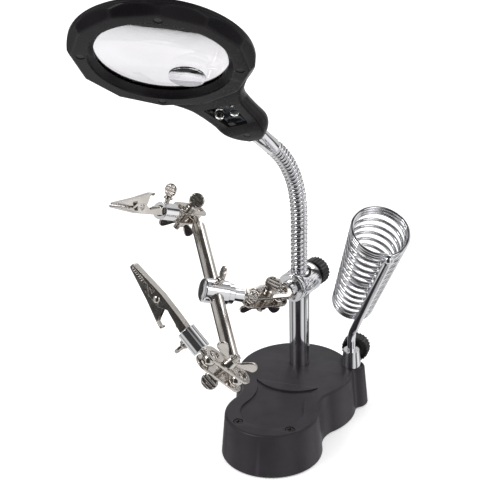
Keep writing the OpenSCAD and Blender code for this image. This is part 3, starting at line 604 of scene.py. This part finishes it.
steps, coil_path = 48, []
for i in range(TURNS * steps + 1):
    z = coil_rise(i / steps)
    a = math.tau * i / steps + math.pi
    r = FOOT_R + (MOUTH_R - FOOT_R) * z / COIL_L
    coil_path.append((r * math.cos(a), r * math.sin(a), z))
coil = build("coil_turns", [tube(coil_path, WIRE_R, 12)], place(coil_foot, coil_dir, coil_up))
cap_r = 3.1
cap_profile = [(0, 0.5 + cap_r), *arc(0, 0.5, cap_r, math.pi / 2, -5 / 16 * math.pi, 13)[1:],
               (ROD_R + 0.02, -1.6), (ROD_R + 0.02, -0.1), (0, -0.1)]
rod_cap = build("rod_cap", [lathe(cap_profile, 32)], place(rod_end, iron_dir, coil_up))
finish_piece(join("iron_coil_wire", coil, rod_cap), "iron_holder", "chrome", ["iron_coil"], 60)

# ---------------------------------------------------------------- gooseneck: wound spring over a dark core
tube_dir = axis("head_turn")
pivots = [pos(f"neck_{'bend' if i % 2 else 'sway'}_{i}") for i in range(1, 7)]
NECK_R, NECK_BELOW, NECK_ABOVE = 5.0, 4.2, 2.6
SPRING_WIRE, SPRING_PITCH, CORE_R, NECK_STEP = 1.3, 2.72, 3.25, 0.1


def neck_curve():
    """Points along the neck, from the post's top to the end tube, about NECK_STEP apart."""
    knots = [pivots[0] - Z * NECK_BELOW, *pivots, pivots[-1] + tube_dir * NECK_ABOVE]
    tangents = [(b - a).normalized() for a, b in zip(knots, knots[1:])]
    slopes = [Z] + [(a + b).normalized() for a, b in zip(tangents, tangents[1:])] + [tube_dir]
    slopes[1], slopes[-2] = Z, tube_dir
    points = []
    for p, q, s, e in zip(knots, knots[1:], slopes, slopes[1:]):
        span = (q - p).length
        n = max(8, round(span / NECK_STEP))
        for i in range(n):
            t = i / n
            points.append(p * (1 + 2 * t) * (1 - t) ** 2 + s * span * t * (1 - t) ** 2
                          + q * t * t * (3 - 2 * t) - e * span * t * t * (1 - t))
    return points + [knots[-1]]


line = neck_curve()
lengths = [0.0]
for a, b in zip(line, line[1:]):
    lengths.append(lengths[-1] + (b - a).length)
side = X.copy()
helix, tangent = [], Z
for i, p in enumerate(line):
    new = (line[min(i + 1, len(line) - 1)] - line[max(i - 1, 0)]).normalized()
    side.rotate(tangent.rotation_difference(new))
    tangent = new
    side = (side - tangent * side.dot(tangent)).normalized()
    other = tangent.cross(side)
    a = math.tau * lengths[i] / SPRING_PITCH
    helix.append(p + (NECK_R - SPRING_WIRE) * (side * math.cos(a) + other * math.sin(a)))


def nearest(point):
    return min(range(len(line)), key=lambda i: (line[i] - point).length)


# each stretch of neck bends between two bodies
# the neck is cut into stretches midway between its pivots
cuts = [0] + [nearest((a + b) / 2) for a, b in zip(pivots, pivots[1:])] + [len(line) - 1]
for i, (lo, hi) in enumerate(zip(cuts, cuts[1:])):
    wire = helix[lo:hi + 1]
    spring = build(f"neck_spring_{i + 1}", [tube([wire[0]] + wire[2:-1:2] + [wire[-1]], SPRING_WIRE, 10)])
    inner = build(f"neck_core_{i + 1}", [tube(line[lo:hi:6] + [line[hi]], CORE_R, 24)])
    for obj, slot in ((spring, "chrome"), (inner, "black_nylon")):
        smooth(obj, 60)
        obj.data.materials.append(material[slot])
        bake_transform(obj)
    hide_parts(*([f"gooseneck_link_{i + 1}"] if i < 5 else []))

# ---------------------------------------------------------------- arm: rods, barrels, studs
# N: screw of the centre plates, G: from the second ball out along its barrel, W: along the cross rod
N, G, W = axis("centre_plates_swing"), -axis("rod_barrel_twist"), axis("rod_slide")
ball_1, ball_2, rod_p = pos("centre_plates_swing"), pos("centre_rod_swing"), pos("rod_thumb_screw_turn")
BALL_R, STUD_R, STUD_FIT_R, REACH, ROD_NECK, CROSS_ROD_R = 3.75, 1.5, 1.55, 6.0, 9.0, 4.0


def ball_stud(neck):
    """Polished ball with a necked shank."""
    below = arc(0, 0, BALL_R, -math.pi / 2, math.pi / 2 - math.asin(STUD_R / BALL_R), 28)
    shank = [(STUD_R, neck + 4.6), (STUD_R - 0.3, neck + 4.8), (0, neck + 4.8)]
    return lathe([(0, -BALL_R)] + below[1:] + shank, 48)


# a: ball on the cross rod, b: ball of the clip, s and o: ways out along their studs, n: screw of the plates
arms = {k: {"a": pos(f"{k}_plates_swing"), "b": pos(f"{k}_clip_swing"), "s": axis(f"{k}_rod_twist"),
            "o": axis(f"{k}_clip_twist"), "n": axis(f"{k}_plates_swing")} for k in ("upper", "lower")}
studs = [("centre_stud_post", "centre_stud_post", ball_1, -F, REACH),
         ("centre_stud_rod", "centre_stud_rod", ball_2, G, REACH)]
studs += [(f"{k}_stud_rod", f"{k}_stud_rod", arm["a"], arm["s"], ROD_NECK) for k, arm in arms.items()]
studs += [(f"{k}_stud_clip", f"{k}_clip_holder", arm["b"], arm["o"], REACH) for k, arm in arms.items()]
for name, body, ball, way, neck in studs:
    piece(f"{name}_ball", [ball_stud(neck)], place(ball, way, Z.cross(way)), body, "nickel", [name], 50)

a, b = arms["upper"]["a"], arms["lower"]["a"]
rod_l = (b - a).length - 2 * ROD_NECK
rod_end_half = [(STUD_FIT_R, 5), (STUD_FIT_R, 0.25), (1.8, 0), (2.5, 0), (CROSS_ROD_R, 2.9)]
rod_profile = soften(rod_end_half + [(r, rod_l - z) for r, z in rod_end_half[::-1]], 0.35, 4)
piece("cross_rod_turned", [lathe([(0, 5)] + rod_profile + [(0, rod_l - 5)], 72)],
      place(a + W * ROD_NECK, W, G), "cross_rod", "nickel", ["cross_rod"], 45)

# barrel at the end of the centre arm: socket, neck, step, body and domed cap
barrel = [(0, REACH + 5), (STUD_FIT_R, REACH + 5), (STUD_FIT_R, REACH), (3.7, REACH), (3.7, 12.5),
          (5.9, 12.5), (5.9, 16.0), (7.0, 16.0), (7.0, 29.6), (6.75, 29.9), (6.7, 30.15), (5.9, 30.7),
          (3.4, 31.0), (0, 31.0)]
rod_barrel = build("rod_barrel_turned", [lathe(soften(barrel, 0.35, 4), 96)], place(ball_2, G, N))
carve(rod_barrel, [pin(CROSS_ROD_R + 0.06, -20, 20, 64)], place(rod_p, W, G))
screw_dir = axis("rod_thumb_screw_turn")
carve(rod_barrel, [pin(1.56, 0, 20)], place(rod_p, screw_dir, W))
finish_piece(rod_barrel, "rod_barrel", "chrome", ["rod_barrel"], 35)


# ---------------------------------------------------------------- plate clamps
def ring_bump(x, z, out):
    """Pressed ring round a ball's hole in a plate's outer face."""
    section = [(2.45, -0.1), (2.5, 0.22), (2.75, 0.42), (3.0, 0.42), (3.2, 0.2), (3.35, -0.1)]
    part = lathe([(r, out * h) for r, h in section], 40, closed=True)
    return shifted(part, at(x, 0, z))


PITCH = (ball_2 - ball_1).length
PLATE_IN, PLATE_T, PLATE_W = 2.9, 1.2, 11.0
PLATE_OUT = PLATE_IN + PLATE_T


def plates():
    h, r = PITCH / 2, PLATE_W / 2
    outline = arc(h, 0, r, -math.pi / 2, math.pi / 2, 24) + arc(-h, 0, r, math.pi / 2, 1.5 * math.pi, 24)
    holes = [circle(-h, 0, 2.5, 40), circle(h, 0, 2.5, 40), circle(0, 0, 2.0, 32)]
    parts = []
    for s in (1, -1):
        z0, z1 = sorted((s * PLATE_IN, s * PLATE_OUT))
        parts.append(slab(outline, holes, z0, z1, 0.32))
        parts += [ring_bump(e * h, s * PLATE_OUT, s) for e in (-1, 1)]
    return parts


def thumb_disc(r):
    """Flat disc on edge, its faces pressed into parallel ridges across the screw's axis."""
    ridges, ridge_h, half = 4, 0.34, 0.62
    rings, sides = 18, 64

    def face_at(q, z):
        """Half the disc's thickness q from its centre, at height z."""
        wave = 0.5 + 0.5 * math.cos(math.pi * z * ridges / r)
        ridge = ridge_h * min(1, max(0, (wave - 0.12) / 0.3))
        return half * (0.72 + 0.28 * min(1, (r - q) / 0.3)) + ridge * min(1, max(0, (r - q) / 0.55))

    skin = Skin()
    rims = []
    for s in (1, -1):
        rows = [skin.ring([(s * face_at(0, 0), 0, 0)]) * sides]
        for i in range(1, rings + 1):
            q = r * (i / rings)
            rows.append(skin.ring([(s * face_at(q, z), y, z) for y, z in circle(0, 0, q, sides)]))
        skin.wall(rows)
        rims.append(rows[-1])
    skin.wall(rims)
    return skin.verts, [list(dict.fromkeys(face)) for face in skin.faces]


def threaded(r, z0, z1, pitch=0.7):
    """Screw shank with thread grooves."""
    n = max(2, round((z1 - z0) / pitch))
    step = (z1 - z0) / n
    profile = [(0, z0), (r - 0.35, z0)]
    for i in range(n):
        z = z0 + i * step
        profile += [(r - 0.22, z + step * 0.12), (r, z + step * 0.4), (r, z + step * 0.6),
                    (r - 0.22, z + step * 0.88)]
    return lathe(profile + [(r - 0.3, z1), (0, z1)], 28)


def wing_screw():
    z = PLATE_OUT
    collar = [(0, z + 0.02), (3.4, z + 0.02), (3.4, z + 1.5), (2.4, z + 2.3), (1.5, z + 2.6), (0, z + 2.6)]
    return [threaded(1.9, -11.5, z + 0.3), lathe(soften(collar, 0.3), 40),
            shifted(thumb_disc(4.6), at(0, 0, z + 6.2))]


def wing_nut():
    """Conical hub with two thin leaf-shaped ears that lean away from the plates."""
    z1 = -PLATE_OUT - 0.1
    z0 = z1 - 4.3
    hub = soften([(1.95, z0), (3.0, z0), (3.8, z1), (1.95, z1)], 0.3, 3, True)
    parts = [lathe(hub, 48, closed=True)]
    ear = [(2.2, 3.4), (5.5, 2.7), (9.6, 0.9), (12.6, -0.2), (13.1, -2.5), (11.8, -4.8), (9.4, -5.3),
           (6.6, -3.2), (4.2, -0.6), (2.2, 0.5)]
    leaf = soften([(x, z0 + z) for x, z in ear], 1.6, 5, True)
    dish = Vector((9.2, z0 - 1.2))
    for s in (1, -1):
        verts, faces = slab(leaf, [], -0.8, 0.8, 0.55, 4)
        # the flat of each ear is dished a little
        shaped = []
        for x, z, y in verts:
            d = (Vector((x, z)) - dish).length
            shaped.append((s * x, y * (0.62 + 0.38 * min(1, (d / 3.6) ** 2)), z))
        parts.append((shaped, faces))
    return parts


# balls at the two ends of each plate clamp, its screw's axis, and the turns of its screw and nut
clamps = {"centre": (ball_1, ball_2, N, 50, -6)}
for k, screw_turn, nut_turn in (("upper", 20, -25), ("lower", -63, 0)):
    clamps[k] = (arms[k]["a"], arms[k]["b"], -arms[k]["n"], screw_turn, nut_turn)
for k, (a, b, z, screw_turn, nut_turn) in clamps.items():
    for what, parts, turn in (("plates", plates(), 0), ("wing_screw", wing_screw(), screw_turn),
                              ("wing_nut", wing_nut(), nut_turn)):
        piece(f"{k}_{what}_pressed", parts, place((a + b) / 2, z, b - a, turn), f"{k}_{what}", "nickel",
              [f"{k}_{what}"], 35)


def thumb_screw(shank, r):
    z = shank
    neck = [(0, z), (2.6, z), (2.6, z + 1.2), (1.6, z + 1.9), (1.2, z + 2.4), (0, z + 2.4)]
    return [threaded(1.5, 0, z + 0.4), lathe(soften(neck, 0.25), 32),
            shifted(thumb_disc(r), at(0, 0, z + 5.4))]


piece("rod_thumb_screw_turned", thumb_screw(4.2, 4.3), place(rod_p + screw_dir * 4.1, screw_dir, W, 85),
      "rod_thumb_screw", "nickel", ["rod_thumb_screw"], 35)

# ---------------------------------------------------------------- spring clips
CLIP_L, PIVOT_X, PIVOT_Z, CLIP_P0 = 43.0, 21.0, -0.6, 19.5
JAW_W, SHEET, CLIP_SCREW_AT = 6.4, 0.7, REACH + 8.6


def teeth_line(side):
    """Zigzag edge from the tip backwards, above or below the line between the jaws."""
    tooth, count, first = 1.3, 8, CLIP_L - 0.8
    return [(first - i * tooth / 2, side * (0.15 + (i % 2) * 0.7)) for i in range(2 * count + 1)]


def upright(part):
    """Turns a slab drawn in X and Y so that Y points along Z and its thickness along Y."""
    verts, faces = part
    return [(x, -z, y) for x, y, z in verts], faces


def strip(path, width, thick, narrow=None):
    """Sheet metal bent along a path in X and Z; narrow(t) scales its width along the way."""
    pts = [Vector((p[0], p[1])) for p in path]
    n = len(pts)
    skin = Skin()
    rings = []
    for i, p in enumerate(pts):
        d = (pts[min(i + 1, n - 1)] - pts[max(i - 1, 0)]).normalized()
        up = Vector((-d.y, d.x)) * thick / 2
        w = width / 2 * (narrow(i / (n - 1)) if narrow else 1)
        e = min(0.18, thick / 3)
        inner = 1 - 2 * e / thick
        half = [(w - e, 1), (w, inner), (w, -inner), (w - e, -1)]
        corners = half + [(-y, h) for y, h in reversed(half)]
        rings.append(skin.ring([((p + up * h).x, y, (p + up * h).y) for y, h in corners]))
    skin.wall(rings)
    skin.faces.append(rings[0][::-1])
    skin.faces.append(rings[-1])
    return skin.part()


def cheeks(outline, window, width, hole_r):
    """The two side walls of a jaw, with the rivet's hole and a window."""
    holes = [circle(PIVOT_X, PIVOT_Z, hole_r, 24), window]
    parts = []
    for s in (1, -1):
        y0, y1 = sorted((s * width / 2, s * (width / 2 - SHEET)))
        parts.append(upright(slab(outline, holes, -y1, -y0, 0.16, 2)))
    return parts


def fixed_jaw():
    """Folded lower half: two cheeks with teeth, a web between them and a crimped tail in the socket."""
    edge = [(0, -2.2), (0, 2.3), (6, 2.7), (PIVOT_X, 3.1), (CLIP_L - 1, 1.5), (CLIP_L, 1.1), (CLIP_L, 0.15)]
    edge += teeth_line(1) + [(30, 0.6), (25.5, -2.6), (17.5, -2.6), (13, 0.2), (4, -1.4)]
    window = soften([(25.0, -0.9), (28.3, 0.5), (28.0, 1.7), (24.8, 1.6)], 0.5, 3, True)
    parts = cheeks(edge, window, JAW_W, 1.0)
    web = [(0, 2.0), (6, 2.35), (PIVOT_X, 2.75), (CLIP_L - 1, 1.2), (CLIP_L - 0.2, 0.85)]
    parts.append(strip(soften(web, 2.5, 5), JAW_W - 0.1, SHEET))
    # crimp: the tail is rolled round into a socket
    roll = soften([(1.9, -6.4), (2.6, -6.4), (2.6, 0.6), (1.9, 0.6)], 0.2, 3, True)
    parts.append(shifted(lathe(roll, 40, closed=True), Matrix.Rotation(math.pi / 2, 4, "Y")))
    parts.append(strip(arc(3.4, 0.2, 2.2, math.radians(100), math.radians(350), 20), JAW_W - 2.2, 0.6))
    return parts


def moving_jaw():
    """Inner half: cheeks with teeth, a long bevelled back, and a thumb lever curled at its end."""
    w = JAW_W - 2 * SHEET - 0.4
    edge = [(CLIP_L, -0.15), (CLIP_L, -1.1), (CLIP_L - 1, -1.5), (PIVOT_X + 3, -5.6), (14, -8.4),
            (12.4, -8.1), (13.2, -6.6), (14.6, -3.2), (16.6, -0.2), (19, 1.3), (23, 1.3), (27, 0.2)]
    edge += [(30, -0.8)] + teeth_line(-1)[::-1]
    window = soften([(24.6, -3.6), (28.8, -2.9), (28.6, -1.4), (24.8, -1.2)], 0.45, 3, True)
    parts = cheeks(edge, window, w, 1.05)
    back = [(CLIP_L - 0.2, -0.8), (CLIP_L - 1, -1.2), (PIVOT_X + 3, -5.3), (14, -8.1), (10, -9.2),
            (8.6, -9.3), (8.4, -8.4), (9.4, -8.2)]
    parts.append(strip(soften(back, 1.1, 5), w - 0.1, SHEET - 0.05, lambda t: 1 - 0.24 * max(0, t - 0.5)))
    return parts


def rivet():
    top = JAW_W / 2
    head = [(0, top + 0.68), (0.5, top + 0.66), (1.2, top + 0.52), (1.75, top + 0.2), (1.9, top), (1.0, top)]
    return shifted(lathe(head + [(r, -h) for r, h in reversed(head)], 32), at(PIVOT_X, 0, PIVOT_Z, 90, "X"))


def clip_spring():
    r, length, turns, steps = 1.75, 2.6, 4, 24
    path = []
    for i in range(turns * steps + 1):
        a = math.tau * i / steps
        along = length * (i / (turns * steps) - 0.5)
        path.append((PIVOT_X + r * math.cos(a), along, PIVOT_Z + r * math.sin(a)))
    return tube(path, 0.38, 8)


for k in ("upper", "lower"):
    a = arms[k]
    o, b, pivot, across = a["o"], a["b"], pos(f"{k}_jaw"), axis(f"{k}_jaw")
    origin = b + o * CLIP_P0
    if (pivot - origin).dot(o.cross(across)) > 0:
        across = -across
    clip = place(origin, o.cross(across), o)
    piece(f"{k}_fixed_jaw_folded", fixed_jaw(), clip, f"{k}_clip", "nickel", [f"{k}_fixed_jaw"], 30)
    piece(f"{k}_rivet_domed", [rivet()], clip, f"{k}_clip", "nickel", [f"{k}_clip_rivet"], 35)
    piece(f"{k}_spring_wound", [clip_spring()], clip, f"{k}_clip", "nickel", [f"{k}_clip_spring"], 60)
    piece(f"{k}_moving_jaw_folded", moving_jaw(), clip, f"{k}_moving_jaw", "nickel", [f"{k}_moving_jaw"], 30)
    screw_way = axis(f"{k}_clip_screw_turn")
    socket = [(0, REACH + 4.9), (STUD_FIT_R, REACH + 4.9), (STUD_FIT_R, REACH), (5, REACH), (5, REACH + 13),
              (3, REACH + 13), (3, REACH + 5.6), (0, REACH + 5.6)]
    sleeve = build(f"{k}_clip_barrel_turned", [lathe(soften(socket, 0.3, 4), 72)], place(b, o, screw_way))
    carve(sleeve, [shifted(pin(1.55, 2.9, 8, 28), at(0, 0, CLIP_SCREW_AT, 90, "Y"))], place(b, o, screw_way))
    finish_piece(sleeve, f"{k}_clip_holder", "chrome", [f"{k}_clip_barrel"], 35)
    piece(f"{k}_clip_screw_turned", thumb_screw(4.6, 3.9),
          place(b + screw_way * 2.7 + o * CLIP_SCREW_AT, screw_way, -o), f"{k}_clip_screw", "nickel",
          [f"{k}_clip_screw"], 35)

# ---------------------------------------------------------------- magnifier head
head_y = axis("led_switch")
head_up = tube_dir.cross(head_y)
HEAD_REACH, RIM_Z, RIM_R, BODY_R, LENS_R, LENS_EDGE = 88.0, -5.4, 42.2, 44.3, 32.0, 34.0
lens_p = pos("head_turn") + tube_dir * HEAD_REACH
HEAD = place(lens_p, head_up, tube_dir)
SCREW_R, SCREW_ANGLES, FLATS, FLATS_TURN, PARTING = 37.5, (33, 123, 213, 303), 12, math.radians(3), 0.05
LED_X, LED_Y, LED_R, HANDLE_SCREW_X, TUBE_R = -59.5, 4.4, 2.4, -80.0, 4.6
HANDLE_FROM, HANDLE_TO = -36, -87.6


def rim_radius(z, a):
    """Radius of the outer wall: a round body cut by flats that lean out from the rim."""
    flat = (RIM_R + 0.69 * (z - RIM_Z)) * math.cos(math.pi / FLATS)
    off = (a - FLATS_TURN) % (math.tau / FLATS) - math.pi / FLATS
    return min(BODY_R, flat / math.cos(off))


def ring_half(outer, inner):
    """Ring whose outer wall follows rim_radius: its points are (inset, z), and those inside (radius, z)."""
    sides = 240
    angles = [math.tau * k / sides + FLATS_TURN for k in range(sides)]
    skin = Skin()

    def level(radius, z):
        return skin.ring([(radius(a) * math.cos(a), radius(a) * math.sin(a), z) for a in angles])

    rings = [level(lambda a: rim_radius(z, a) - d, z) for d, z in outer]
    rings += [level(lambda a: r, z) for r, z in inner]
    skin.wall(rings + rings[:1])
    return skin.part()


def station(x):
    """Half-width, underside and top of the handle at x."""
    table = [(-36, 25.5, -3.4, 3.2), (-40, 22.0, -3.6, 3.8), (-44, 19.0, -3.8, 4.4), (-50, 16.4, -3.8, 4.9),
             (-58, 15.2, -3.8, 5.0), (-66, 14.6, -3.9, 5.0), (-70, 14.4, -4.1, 5.1), (-73, 14.3, -4.9, 5.3),
             (-77, 13.6, -5.35, 5.5), (-81, 11.9, -5.4, 5.5), (-84, 9.8, -5.35, 5.45),
             (-86.4, 7.4, -5.2, 5.3), (-87.6, 6.0, -5.0, 5.1)]
    for (x0, *p), (x1, *q) in zip(table, table[1:]):
        if x >= x1:
            t = (x0 - x) / (x0 - x1)
            return [u + (v - u) * t for u, v in zip(p, q)]
    return table[-1][1:]


def handle_half(up):
    """Upper or lower half of the handle: rounded sections along it, split at the parting plane."""
    steps, reach = 70, 1.2
    split, side_r = (PARTING, 5.2) if up else (-PARTING, 3.6)
    skin = Skin()
    rings = []
    for i in range(steps + 1):
        x = HANDLE_FROM + (HANDLE_TO - HANDLE_FROM) * i / steps
        near = [station(x + reach * k / 2) for k in range(-2, 3)]
        w, low, top = [sum(v) / len(near) for v in zip(*near)]
        h = (top if up else low) - split
        r = min(side_r, w * 0.7)
        half = [(w - r * (1 - math.cos(t)), split + h * math.sin(t)) for t in quarter(10)]
        rings.append(skin.ring([(x, y, z) for y, z in half] + [(x, -y, z) for y, z in half[::-1]]))
    end = []
    for i in rings[-1]:
        x, y, z = skin.verts[i]
        end.append((x - 0.4, y * 0.88, z * 0.9 if abs(z) > 2 * PARTING else z))
    rings.append(skin.ring(end))
    skin.wall(rings)
    skin.cap(rings[0])
    skin.cap(rings[-1])
    return skin.part()


# cuts: the hollow under the handle, the end tube's bore, and the wells of the screws
mouth = soften([(-50.5, -8.6), (-50.5, 8.6), (-70.5, 6.0), (-70.5, -6.0)], 1.0, 4, True)
hollow = slab(mouth, [], -8, 3.6, 0.1, 1)
bore = shifted(pin(TUBE_R + 0.04, 0, 17, 48), at(-HEAD_REACH - 1, 0, 0, 90, "Y"))
screw_hole = shifted(pin(2.0, -6, 0.9), at(HANDLE_SCREW_X, 0, RIM_Z))
spots = [(SCREW_R * math.cos(a), SCREW_R * math.sin(a)) for a in map(math.radians, SCREW_ANGLES)]
rim_wells = [shifted(pin(2.1, -1, 1.5, 28), at(x, y, RIM_Z)) for x, y in spots]

seat_r, opening_r, lip = LENS_EDGE + 0.2, LENS_R - 0.2, RIM_Z + 0.6
lower_outer = [(0.9, RIM_Z), (0.45, RIM_Z + 0.06), (0.12, RIM_Z + 0.3)]
lower_outer += [(0, lip + (-0.2 - lip) * k / 10) for k in range(11)] + [(0.15, -PARTING)]
lower_inner = [(seat_r, -PARTING), (seat_r, -1.55), (opening_r, -1.6), (opening_r, -1.9)]
lower_inner += [(LENS_R + out, z) for out, z in ((1.2, -3.6), (2.0, -4.4), (2.25, -4.55), (2.5, RIM_Z + 0.2),
                                                 (2.75, RIM_Z))]
lower = build("lower_ring", [ring_half(lower_outer, lower_inner)], HEAD)
carve(lower, rim_wells, HEAD)
handle = build("lower_handle", [handle_half(False)], HEAD)
carve(handle, [hollow, bore, screw_hole], HEAD)
upper_outer = [(0.15, PARTING), (0, 0.2), (0, 1.0), (0, 1.7), (0.25, 2.3), (0.8, 2.75), (2.3, 3.25),
               (4.2, 3.9), (6.3, 4.55), (8.2, 4.9), (9.8, 5.0), (10.4, 4.85)]
upper_inner = [(LENS_R + 0.6, 3.6), (LENS_R, 2.9), (opening_r, 2.5), (opening_r, 1.6), (seat_r, 1.55),
               (seat_r, PARTING)]
upper = build("upper_ring", [ring_half(upper_outer, upper_inner)], HEAD)
roof = build("upper_handle", [handle_half(True)], HEAD)
carve(roof, [hollow, bore], HEAD)
for half, objs in (("lower", (lower, handle)), ("upper", (upper, roof))):
    finish_piece(join(f"head_{half}_shell_moulded", *objs), "head", "charcoal", [f"head_{half}_shell"], 28,
                 "gloss_black")


def lens_body(r, sag, edge, n=24):
    low = [(r * i / n, -edge - sag * (1 - (i / n) ** 2)) for i in range(n + 1)]
    return lathe(low + [(q, -z) for q, z in reversed(low)], 128)


piece("lens_ground", [lens_body(LENS_EDGE, 2.0, 0.8)], HEAD, "head", "clear", ["lens"], 30)
piece("insert_lens_ground", [shifted(lens_body(9, 0.6, 0.5), at(-18, 3, -3.6))], HEAD, "head", "clear",
      ["insert_lens"], 30, "insert")
led = soften([(0, 0.3), (2.8, 0.3), (2.8, -0.7), (LED_R, -0.7), (LED_R, -2.8)], 0.2, 3)
led += arc(0, -2.8, LED_R, 0, -math.pi / 2, 10)[1:]
piece("leds_domed", [shifted(lathe(led, 40), at(LED_X, s * LED_Y, 0)) for s in (-1, 1)], HEAD, "head", "led",
      ["leds"], 40)

# ---------------------------------------------------------------- CAD nodes that stay, with rounded edges
kept = {
    "black_nylon": ["deck_screws", "head_screws", "clamp_bush", "slide_switch", "bottom_plate"],
    "chrome": ["iron_collar", "gooseneck_ferrule", "end_tube", "clamp_barrel"], "foam": ["anti_slip_pad"],
    "cast_iron": ["base_weight"], "cell": ["battery_cells"], "steel": ["post_bolt"], "board": ["led_board"],
}
for slot, names in kept.items():
    for n in names:
        obj = frame["nodes"][n]
        obj.data.materials.clear()
        obj.data.materials.append(material[slot])
        for p in obj.data.polygons:
            p.material_index = 0
        weld = obj.modifiers.new("weld", "WELD")
        weld.merge_threshold = 2e-6
        soft = obj.modifiers.new("edges", "BEVEL")
        soft.width, soft.segments, soft.harden_normals = 0.00025, 3, True
        soft.limit_method, soft.angle_limit = "ANGLE", math.radians(40)

# ---------------------------------------------------------------- camera and floor
TURN, RISE, ROLL = math.radians(18.834), math.radians(23.438), math.radians(-1.506)
CAMERA_AT, LENS_MM, SENSOR_MM, FLOOR_HALF = Vector((0.1677, -0.5966, 0.3745)), 88.16, 36.0, 6
back = Vector((math.sin(TURN) * math.cos(RISE), -math.cos(TURN) * math.cos(RISE), math.sin(RISE)))
flat = Vector((math.cos(TURN), math.sin(TURN), 0))
over = back.cross(flat)
cam_x = flat * math.cos(ROLL) + over * math.sin(ROLL)
cam_y = over * math.cos(ROLL) - flat * math.sin(ROLL)
camera = bpy.data.objects.new("camera", bpy.data.cameras.new("camera"))
camera.data.lens, camera.data.sensor_width = LENS_MM, SENSOR_MM
camera.data.clip_start, camera.data.clip_end = 0.01, 50
pose = Matrix((cam_x, cam_y, back)).transposed().to_4x4()
pose.translation = CAMERA_AT
camera.matrix_world = pose
bpy.context.scene.collection.objects.link(camera)
bpy.context.scene.camera = camera

floor_mesh = bpy.data.meshes.new("floor")
floor_corners = [(x * FLOOR_HALF, y * FLOOR_HALF, 0) for x, y in ((-1, -1), (1, -1), (1, 1), (-1, 1))]
floor_mesh.from_pydata(floor_corners, [], [(0, 1, 2, 3)])
floor = bpy.data.objects.new("floor", floor_mesh)
bpy.context.scene.collection.objects.link(floor)
floor.visible_glossy = False
m, tree, s = new_material("floor")
s.inputs["Base Color"].default_value = (0.9, 0.9, 0.9, 1)
s.inputs["Roughness"].default_value = 0.9
s.inputs["Specular IOR Level"].default_value = 0.1
s.inputs["Emission Color"].default_value = (1, 1, 1, 1)
s.inputs["Emission Strength"].default_value = 0.35
floor_mesh.materials.append(m)

# ---------------------------------------------------------------- studio
def math_node(operation, first, second):
    node = tree.nodes.new("ShaderNodeMath")
    node.operation = operation
    for socket, value in zip(node.inputs, (first, second)):
        if isinstance(value, bpy.types.NodeSocket):
            tree.links.new(value, socket)
        else:
            socket.default_value = value
    return node.outputs[0]


def background(colour):
    """Light of one colour, or of a colour socket."""
    node = tree.nodes.new("ShaderNodeBackground")
    if isinstance(colour, bpy.types.NodeSocket):
        tree.links.new(colour, node.inputs["Color"])
    else:
        node.inputs["Color"].default_value = (*colour, 1)
    return node.outputs[0]


def choose(fac, first, second):
    node = tree.nodes.new("ShaderNodeMixShader")
    for socket, value in zip(node.inputs, (fac, first, second)):
        tree.links.new(value, socket)
    return node.outputs[0]


world = bpy.data.worlds.new("studio")
bpy.context.scene.world = world
world.use_nodes = True
tree = world.node_tree
tree.nodes.clear()
out = tree.nodes.new("ShaderNodeOutputWorld")
coords = tree.nodes.new("ShaderNodeTexCoord")
split = tree.nodes.new("ShaderNodeSeparateXYZ")
tree.links.new(coords.outputs["Generated"], split.inputs[0])
height = ramp(tree, split.outputs["Z"], [(0.0, 0.10), (0.3, 0.5), (0.6, 1.0), (1.0, 1.0)])
turns = tree.nodes.new("ShaderNodeMapRange")
turns.inputs["From Min"].default_value, turns.inputs["From Max"].default_value = -math.pi, math.pi
tree.links.new(math_node("ARCTAN2", split.outputs["Y"], split.outputs["X"]), turns.inputs["Value"])
# dark cards round the table that give the plated parts their streaks
cards_round = [(0.0, 0.6), (0.03, 0.2), (0.07, 0.15), (0.10, 0.6), (0.155, 0.7), (0.175, 0.05),
               (0.325, 0.04), (0.345, 0.55), (0.42, 0.9), (0.45, 0.15), (0.49, 0.1), (0.51, 0.8),
               (0.615, 1.0), (0.63, 0.05), (0.65, 0.05), (0.665, 0.6), (0.87, 0.6), (0.89, 0.06),
               (0.93, 0.05), (0.95, 0.6)]
cards = ramp(tree, turns.outputs[0], cards_round)
# the cards end under a dark ceiling, and below them is the pale table
ceiling = ramp(tree, split.outputs["Z"], [(0.0, 0.0), (0.70, 0.0), (0.82, 1.0)])
below = math_node("MULTIPLY", split.outputs["Z"], -1)
table = ramp(tree, below, [(0.0, 0.0), (0.55, 0.0), (0.65, 1.0), (0.92, 1.0), (0.94, 0.2)])
cards = mix(tree, ceiling, cards, (0.05, 0.05, 0.05))
cards = mix(tree, table, cards, (0.8, 0.8, 0.8))
# plain light for the surfaces, the cards for reflections, and white behind the object
rays = tree.nodes.new("ShaderNodeLightPath")
light = choose(rays.outputs["Is Glossy Ray"], background(height), background(cards))
light = choose(rays.outputs["Is Camera Ray"], light, background((1, 1, 1)))
tree.links.new(light, out.inputs["Surface"])


def panel(name, where, target, size, power):
    light = bpy.data.lights.new(name, "AREA")
    light.shape, light.size, light.size_y, light.energy = "RECTANGLE", *size, power
    obj = bpy.data.objects.new(name, light)
    aim = (Vector(target) - Vector(where)).to_track_quat("-Z", "Y")
    obj.matrix_world = Matrix.Translation(where) @ aim.to_matrix().to_4x4()
    bpy.context.scene.collection.objects.link(obj)


panel("key", (-0.9, -0.9, 1.3), (0, -0.03, 0.08), (0.8, 0.6), 9)
panel("fill", (1.2, -0.6, 0.9), (0, -0.03, 0.08), (0.7, 0.7), 2)
panel("back", (0.2, 1.2, 1.1), (0, -0.03, 0.1), (0.9, 0.5), 3)

view = bpy.context.scene.view_settings
view.view_transform, view.look, view.exposure, view.gamma = "Standard", "None", 0.0, 1.0
